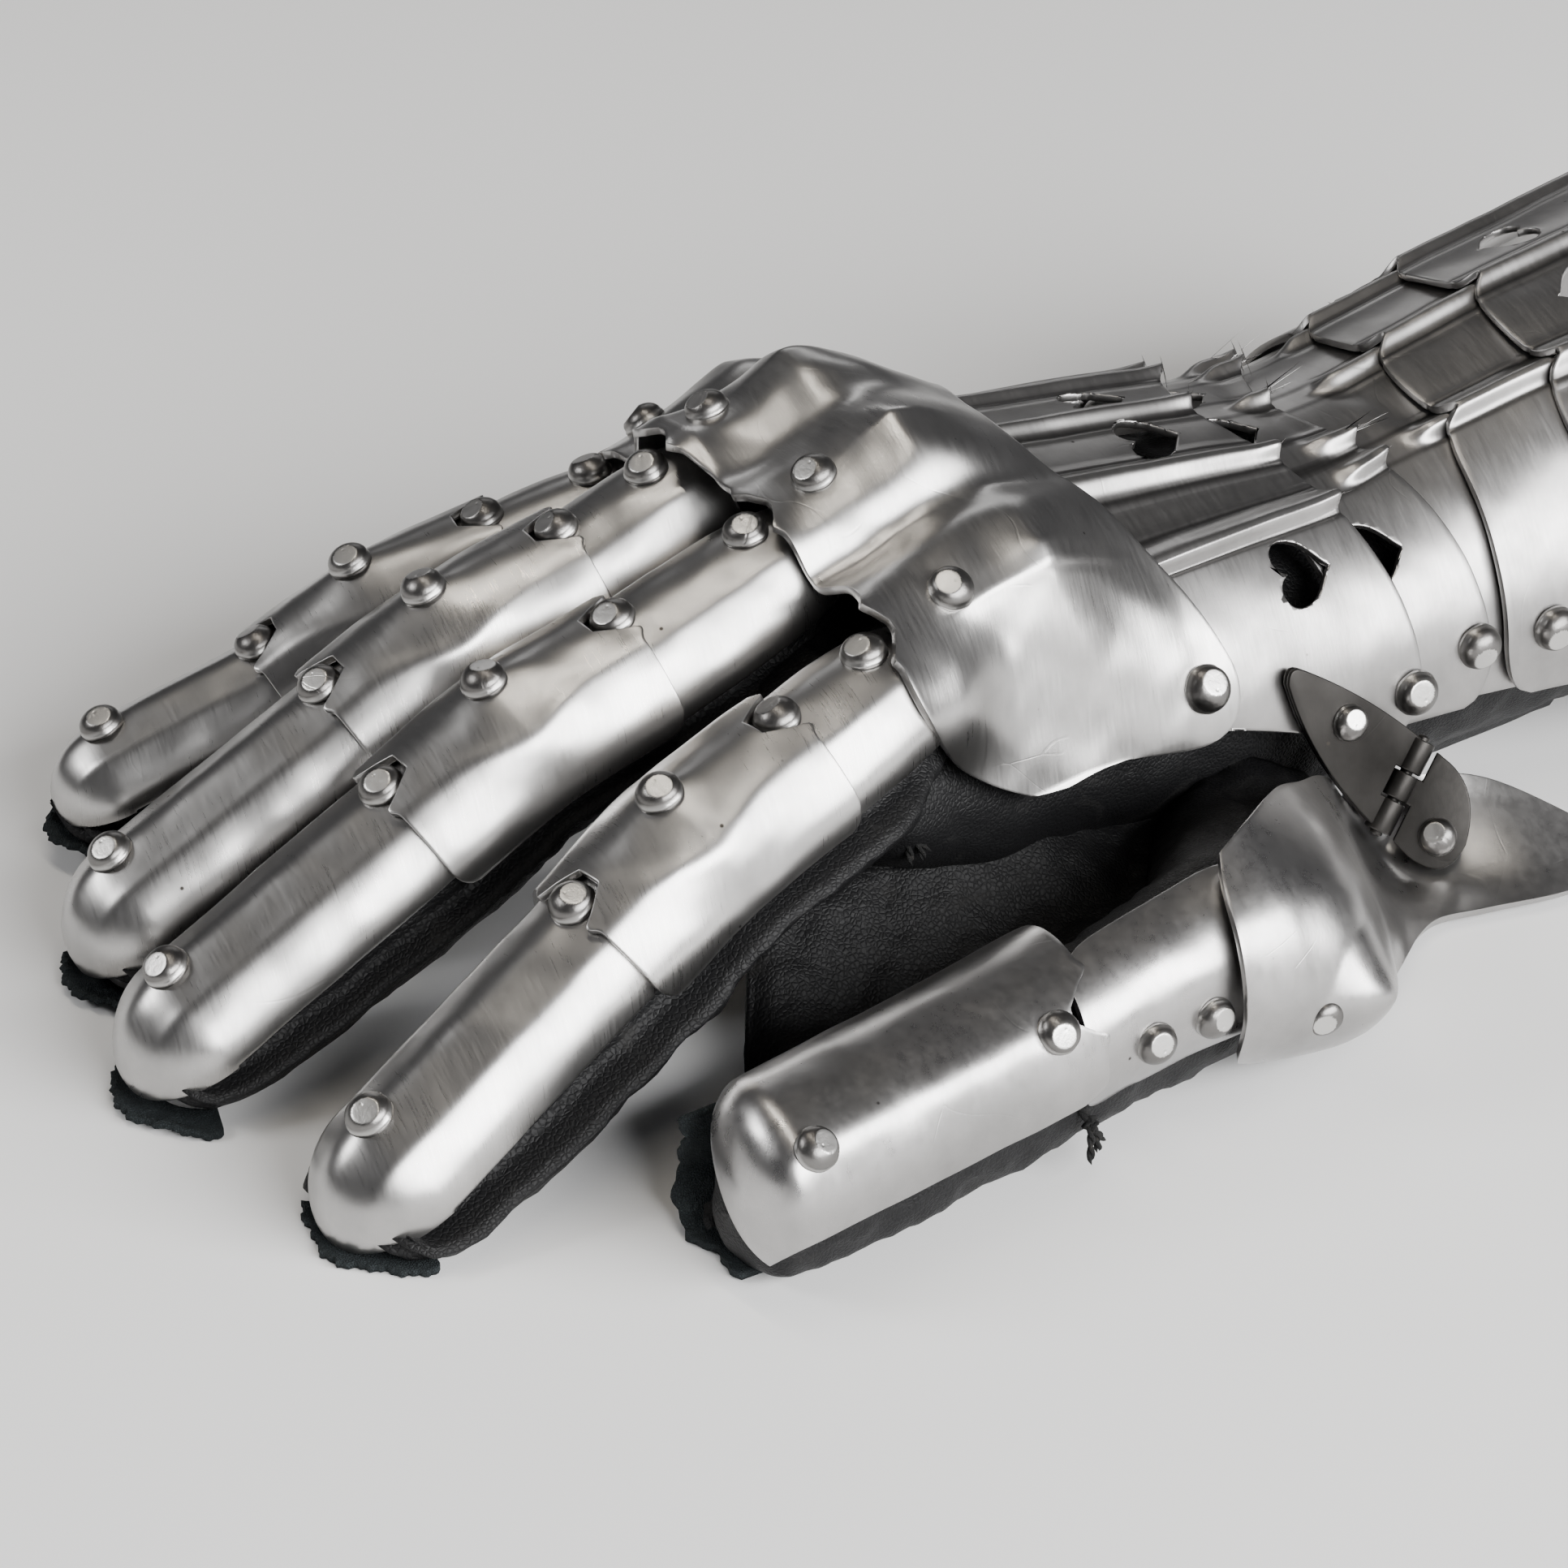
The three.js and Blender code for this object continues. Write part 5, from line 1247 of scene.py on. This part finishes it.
def thumb_leather_points():
    table = [(i,) + row for i, row in enumerate(thumb_root)]
    share = np.linspace(0.28, 6, 110)
    turns = np.linspace(0, 2 * np.pi, 64, endpoint=False)
    s, turned = np.meshgrid(share, turns, indexing="ij")
    x, y, z, half, depth = (rows_at(table, k, s) for k in range(1, 6))
    close = np.sqrt(np.clip(1 - clip01(s - 5) ** 4, 0.0004, 1))
    ahead = np.stack([rows_at(table, 1, s + 0.01) - x, rows_at(table, 2, s + 0.01) - y], -1)
    ahead = ahead / np.maximum(np.linalg.norm(ahead, axis=-1, keepdims=True), 1e-6)
    low = smooth01((-0.05 - np.cos(turned)) / 0.45) * smooth01((s - 1.2) / 1.0)
    out = np.sign(np.sin(turned)) * np.abs(np.sin(turned)) ** (1 - 0.55 * low)
    wide = half + 1.0 * low
    points = np.stack([x - ahead[..., 1] * out * wide * close,
                       y + ahead[..., 0] * out * wide * close,
                       z + np.cos(turned) * depth * (1 + 0.38 * low) * close], -1)
    centre = np.stack([x, y, z], -1)
    away = points - centre
    away = away / np.maximum(np.linalg.norm(away, axis=-1, keepdims=True), 1e-6)
    wave = hash_noise(points, 0.25, 2.0) * 0.6 + hash_noise(points, 0.7, 1.0) * 0.3
    points = points + away * ((wave - 0.8) * close)[..., None]
    flattened(points, 0.1)
    return points


thumb_stall = grid_object("thumb_stall_leather", thumb_leather_points(), loop=True)
wall(thumb_stall, 1.4)
baked(thumb_stall)
thumb_stall.data.materials.append(black_leather)
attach(thumb_stall, "thumb")
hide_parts("glove_stall_thumb")

# The fork between thumb and hand: one loose piece, hollow along its middle.
u, v = np.meshgrid(np.linspace(0, 1, 90), np.linspace(0, 1, 60), indexing="ij")
front = -63.5 + 37 * v - 1.2 * np.sin(9 * v)
x = front + (52 - front) * u
y_thumb = rows_at([(-60, -84, 0), (-30, -79, 0), (0, -73, 0), (26, -64, 0), (52, -42, 0)], 1, x)
y_hand = rows_at([(-60, -36, 0), (-24, -34, 0), (20, -35, 0), (52, -33, 0)], 1, x)
y = y_thumb + (y_hand - y_thumb) * v
height = rows_at([(-60, 7, 0), (-24, 8, 0), (10, 12, 0), (52, 14, 0)], 1, x)
z = (height - 4.5 * np.sin(np.pi * v) * (1 - 0.3 * u) + 2.0 * v
     + 9.0 * smooth01((v - 0.5) / 0.5) * (1 - smooth01((x - 10) / 25)))
points = np.stack([x, y, z], -1)
z = z + hash_noise(points, 0.16, 9.0) * 1.0 + hash_noise(points, 0.5, 4.0) * 0.45
z = z - 2.5 * (1 - smooth01(u / 0.06))
points = np.stack([x, y, np.maximum(z, 1.8)], -1)
fork = grid_object("fork_leather", points[::-1])
wall(fork, 1.4)
baked(fork)
fork.data.materials.append(black_leather)
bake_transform(fork)

# The thumb's suede end, wrapped round the front of the thumb on the side of the fingers.
u, v = np.meshgrid(np.linspace(0, 1, 40), np.linspace(0, 1, 60), indexing="ij")
ragged = 0.8 * np.sin(11 * v + 1) + 0.5 * np.sin(29 * v) + 0.25 * np.sin(67 * v)
x = -50 - (13.5 + ragged) * u
swing = np.radians(-62 - 124 * v)
reach = 12.4 + (0.5 + 4.5 * smooth01((v - 0.15) / 0.3)) * u + 0.4 * np.sin(6 * v + 4 * u)
points = np.stack([x, -90.0 - reach * np.sin(swing), 14.2 + reach * np.cos(swing)], -1)
flattened(points, 0.5)
thumb_suede = grid_object("thumb_suede_end", points)
thumb_suede.data.flip_normals()
wall(thumb_suede, 1.2)
baked(thumb_suede)
thumb_suede.data.materials.append(suede)
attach(thumb_suede, "thumb")

# ------------------------------------------------------------------ thread ties
# Waxed black thread knotted through the leather where it is sewn, its ends cut short and
# frayed: one at the root of the index finger, one behind the thumb's tip plate.
thread_look = leather_look("waxed_thread", (0.008, 0.008, 0.008, 1), (0.05, 0.045, 0.04, 1),
                           0.7, 4000.0, 800.0, 0.6)


def thread(path, radius, phase):
    """Rings round one strand along a path in hand millimetres, thinned to nothing at its end."""
    path = np.array(path, float)
    place = np.linspace(0, len(path) - 1, 26)
    line = np.stack([np.interp(place, np.arange(len(path)), path[:, k]) for k in range(3)], -1)
    twist = place * 5.0 + phase
    line = line + radius * 0.8 * np.stack([np.cos(twist), np.sin(twist), 0 * twist], -1)
    along = np.gradient(line, axis=0)
    along /= np.linalg.norm(along, axis=-1, keepdims=True)
    side = np.cross(along, [0.3, 0.2, 0.93])
    side /= np.linalg.norm(side, axis=-1, keepdims=True)
    other = np.cross(along, side)
    fine = radius * np.minimum(1, np.minimum(place, place[-1] - place) * 4 + 0.08)
    turns = np.linspace(0, 2 * np.pi, 10, endpoint=False)
    return (line[:, None] + side[:, None] * (fine[:, None] * np.cos(turns))[..., None]
            + other[:, None] * (fine[:, None] * np.sin(turns))[..., None])


def thread_tie(name, body, start, knot, ends):
    rings = [thread([start, knot], 0.42, 0.0), thread([start, knot], 0.42, math.pi)]
    loop = [np.array(knot) + 0.75 * np.array([math.cos(a), 0.5 * math.sin(2 * a), math.sin(a)])
            for a in np.linspace(0, 4 * math.pi, 14)]
    rings.append(thread(loop, 0.42, 0.5))
    for i, end in enumerate(ends):
        bend = (np.array(knot) + np.array(end)) / 2 + np.array([0.5 * math.sin(2 * i + 1), 0, 0.6])
        rings += [thread([knot, bend, end], 0.34, i), thread([knot, bend, end], 0.34, i + math.pi)]
    strands = [grid_object(f"{name}_{i}", points, loop=True) for i, points in enumerate(rings)]
    vertices, faces = [], []
    for strand in strands:
        base = len(vertices)
        vertices += [tuple(vertex.co) for vertex in strand.data.vertices]
        faces += [tuple(base + k for k in polygon.vertices) for polygon in strand.data.polygons]
        bpy.data.objects.remove(strand)
    mesh = bpy.data.meshes.new(name)
    mesh.from_pydata(vertices, [], faces)
    mesh.polygons.foreach_set("use_smooth", [True] * len(mesh.polygons))
    tie = bpy.data.objects.new(name, mesh)
    bpy.context.scene.collection.objects.link(tie)
    tie.data.materials.append(thread_look)
    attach(tie, body)


thread_tie("index_tie", "hand", (-11.0, -40.0, 34.5), (-10.0, -45.2, 32.5),
           [(-8.2, -48.5, 27.4), (-10.0, -48.0, 26.8), (-6.8, -47.6, 28.0)])
thread_tie("thumb_tie", "thumb", (-9.5, -91.5, 11.5), (-8.4, -93.6, 8.6),
           [(-6.8, -93.4, 3.2), (-9.0, -94.9, 2.8), (-5.2, -92.4, 4.0)])

# ------------------------------------------------------------------ thumb hinge
# A small strap hinge of dark, doubled sheet: one leaf on the metacarpal plate, the other on
# the thumb's base plate, turning on a pin between three barrels.
dark_steel = steel_look("dark_hinge_steel", (0.042, 0.040, 0.038, 1),
                        (0.02, 0.019, 0.018, 1), 0.40, (900.0, 900.0, 200.0), specks=0.18)


def finished(piece, body, node, look, bevel=0.00025):
    edge_softened(piece, bevel, 3, 40)
    baked(piece)
    piece.data.materials.clear()
    piece.data.materials.append(look)
    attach(piece, body)
    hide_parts(node)


def barrel(start, stop, radius=2.2, bore=1.35):
    return turned_about_pin([(start, bore), (start, radius), (stop, radius), (stop, bore)])


upper_leaf = joined("hinge_upper", [
    slab(upper_outline, upper_out, upper_normal, -0.46, 0.86),
    slab(upper_outline, upper_out, upper_normal, 0.46, 0.86),
    barrel(0, 5.2), barrel(L - 5.2, L)])
finished(upper_leaf, "hand", "hinge_upper_leaf", dark_steel)
lower_leaf = joined("hinge_lower", [
    slab(lower_outline, lower_out, lower_normal, 0.0, 1.0), barrel(5.6, L - 5.6)])
finished(lower_leaf, "thumb", "hinge_lower_leaf", dark_steel)
pin = joined("hinge_pin_steel", [turned_about_pin(
    [(-0.9, 0.01), (-0.8, 0.6), (-0.5, 1.0), (L + 0.5, 1.0), (L + 0.8, 0.6), (L + 0.9, 0.01)])])
finished(pin, "hand", "hinge_pin", dark_steel, 0.00005)
upper_sign = 1.0 if upper_normal[1] < 0 else -1.0
lower_sign = 1.0 if lower_normal[1] < 0 else -1.0
add_rivet("hand", pin_low + pin_axis * 12.7 + upper_out * 14.2
          + upper_normal * upper_sign * 0.9, upper_normal * upper_sign, 0.85)
add_rivet("thumb", pin_low + pin_axis * 3.2 + lower_out * 8.6
          + lower_normal * lower_sign * 0.5, lower_normal * lower_sign, 0.85)

# ------------------------------------------------------------------ rivets
# Hammered iron rivets: a dome on a short lip with a flat struck off centre. Each is set on its
# spot by a node tree, turned by chance, and darker than the plates.


def rivet_shape():
    radius, height, lip = 3.35, 2.95, 0.5
    rings, sides = 26, 44
    vertices, faces, polish = [], [], []
    for i in range(sides):
        angle = 2 * math.pi * i / sides
        for x, z in ((radius + 0.1, -0.35), (radius + 0.1, lip * 0.8), (radius - 0.02, lip)):
            wobble = 1 + 0.012 * math.sin(3 * angle + 1) + 0.01 * math.sin(7 * angle)
            vertices.append((x * wobble * math.cos(angle), x * wobble * math.sin(angle), z))
            polish.append(0.55 if z > 0 else 0.0)
    for k in range(1, rings):
        r = (radius - 0.12) * math.cos(0.5 * math.pi * k / rings)
        for i in range(sides):
            angle = 2 * math.pi * i / sides
            x, y = r * math.cos(angle), r * math.sin(angle)
            z = lip + (height - lip) * math.sqrt(max(1 - (r / radius) ** 2, 0))
            plane = 2.62 - 0.28 * x + 0.11 * y
            struck = max(0.0, z - plane)
            soft = struck * struck / (struck + 0.08)
            facet = 1.0 if struck > 0.05 else 0.0
            z -= soft
            vertices.append((x, y, z))
            polish.append(0.08 + 0.92 * facet)
    top = len(vertices)
    vertices.append((0, 0, min(height, 2.62) - 0.02))
    polish.append(1.0)
    for i in range(sides):
        j = (i + 1) % sides
        for a in range(2):
            faces.append((i * 3 + a, j * 3 + a, j * 3 + a + 1, i * 3 + a + 1))
        faces.append((i * 3 + 2, j * 3 + 2, sides * 3 + j, sides * 3 + i))
        for k in range(rings - 2):
            base = sides * (3 + k)
            faces.append((base + i, base + j, base + sides + j, base + sides + i))
        base = sides * (3 + rings - 2)
        faces.append((base + i, base + j, top))
    faces.append(tuple(i * 3 for i in range(sides - 1, -1, -1)))
    mesh = bpy.data.meshes.new("rivet_shape")
    mesh.from_pydata([(x * 0.001, y * 0.001, z * 0.001) for x, y, z in vertices], [], faces)
    layer = mesh.attributes.new("polish", "FLOAT", "POINT")
    layer.data.foreach_set("value", polish)
    for polygon in mesh.polygons:
        polygon.use_smooth = True
    piece = bpy.data.objects.new("rivet_shape", mesh)
    bpy.context.scene.collection.objects.link(piece)
    return piece


def rivet_look():
    """Dark iron that is polished where the head was struck."""
    material = steel_look("rivet_steel", (0.17, 0.165, 0.16, 1), (0.085, 0.08, 0.077, 1), 0.28,
                          (700.0, 700.0, 700.0), specks=0.1, bump=0.3)
    tree = material.node_tree
    shader = tree.nodes["Principled BSDF"]
    dark = shader.inputs["Base Color"].links[0].from_socket
    mask = placed(tree, "ShaderNodeAttribute", attribute_name="polish")
    polish = computed(tree, "MULTIPLY", mask.outputs["Fac"], 0.85)
    filled(tree, shader, {"Base Color": mixed(tree, polish, dark, (0.72, 0.71, 0.69, 1))})
    return material


rivet_steel = rivet_look()


def rivet_tree():
    """One rivet on each point, stood along its aim and turned by chance about it."""
    tree = bpy.data.node_groups.new("set_rivets", "GeometryNodeTree")
    for label, kind in (("Geometry", "Geometry"), ("Rivet", "Object"), ("Seed", "Int"),
                        ("Steel", "Material")):
        tree.interface.new_socket(label, in_out="INPUT", socket_type=f"NodeSocket{kind}")
    tree.interface.new_socket("Geometry", in_out="OUTPUT", socket_type="NodeSocketGeometry")
    given = tree.nodes.new("NodeGroupInput").outputs
    head = placed(tree, "GeometryNodeObjectInfo", {"Object": given["Rivet"]})
    aim = placed(tree, "GeometryNodeInputNamedAttribute", {"Name": "aim"},
                 data_type="FLOAT_VECTOR")
    size = placed(tree, "GeometryNodeInputNamedAttribute", {"Name": "size"}, data_type="FLOAT")
    upright = placed(tree, "FunctionNodeAlignRotationToVector",
                     {"Vector": aim.outputs["Attribute"]}, axis="Z")
    chance = placed(tree, "FunctionNodeRandomValue", {
        "Min": 0.0, "Max": 6.283, "Seed": given["Seed"]}, data_type="FLOAT")
    spin = placed(tree, "ShaderNodeCombineXYZ", {"Z": chance.outputs["Value"]})
    spots = placed(tree, "GeometryNodeInstanceOnPoints", {
        "Points": given["Geometry"], "Instance": head.outputs["Geometry"],
        "Rotation": upright.outputs["Rotation"], "Scale": size.outputs["Attribute"]})
    turned = placed(tree, "GeometryNodeRotateInstances", {
        "Instances": spots.outputs["Instances"], "Rotation": spin.outputs["Vector"]})
    real = placed(tree, "GeometryNodeRealizeInstances",
                  {"Geometry": turned.outputs["Instances"]})
    dressed = placed(tree, "GeometryNodeSetMaterial", {
        "Geometry": real.outputs["Geometry"], "Material": given["Steel"]})
    filled(tree, tree.nodes.new("NodeGroupOutput"), {"Geometry": dressed.outputs["Geometry"]})
    return tree


set_rivets = rivet_tree()
one_rivet = rivet_shape()
rivet_nodes = {
    "hand": ("rivet_metacarpal_thumb_side", "rivet_metacarpal_little_side"),
    "metacarpal_plate_2": ("rivet_wrist_thumb_side", "rivet_wrist_little_side"),
    "cuff_lame": ("rivet_lame_thumb_side", "rivet_lame_little_side"),
    "cuff_plate": ("rivet_cuff_thumb_side", "rivet_cuff_little_side"),
    "thumb": (),
}
for seed, (body, spots) in enumerate(rivets.items()):
    mesh = bpy.data.meshes.new(f"{body}_rivets")
    mesh.from_pydata(to_row(np.array([spot[0] for spot in spots])).tolist(), [], [])
    aims = mesh.attributes.new("aim", "FLOAT_VECTOR", "POINT")
    aims.data.foreach_set("vector", np.array([spot[1] for spot in spots], np.float32).reshape(-1))
    sizes = mesh.attributes.new("size", "FLOAT", "POINT")
    sizes.data.foreach_set("value", [float(spot[2]) for spot in spots])
    heads = bpy.data.objects.new(f"{body}_rivets", mesh)
    bpy.context.scene.collection.objects.link(heads)
    setting = heads.modifiers.new("rivets", "NODES")
    setting.node_group = set_rivets
    for item in set_rivets.interface.items_tree:
        if item.in_out == "INPUT" and item.name == "Rivet":
            setting[item.identifier] = one_rivet
        if item.in_out == "INPUT" and item.name == "Seed":
            setting[item.identifier] = seed + 11
        if item.in_out == "INPUT" and item.name == "Steel":
            setting[item.identifier] = rivet_steel
    baked(heads)
    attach(heads, body)
    if rivet_nodes[body]:
        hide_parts(*rivet_nodes[body])
bpy.data.objects.remove(one_rivet)
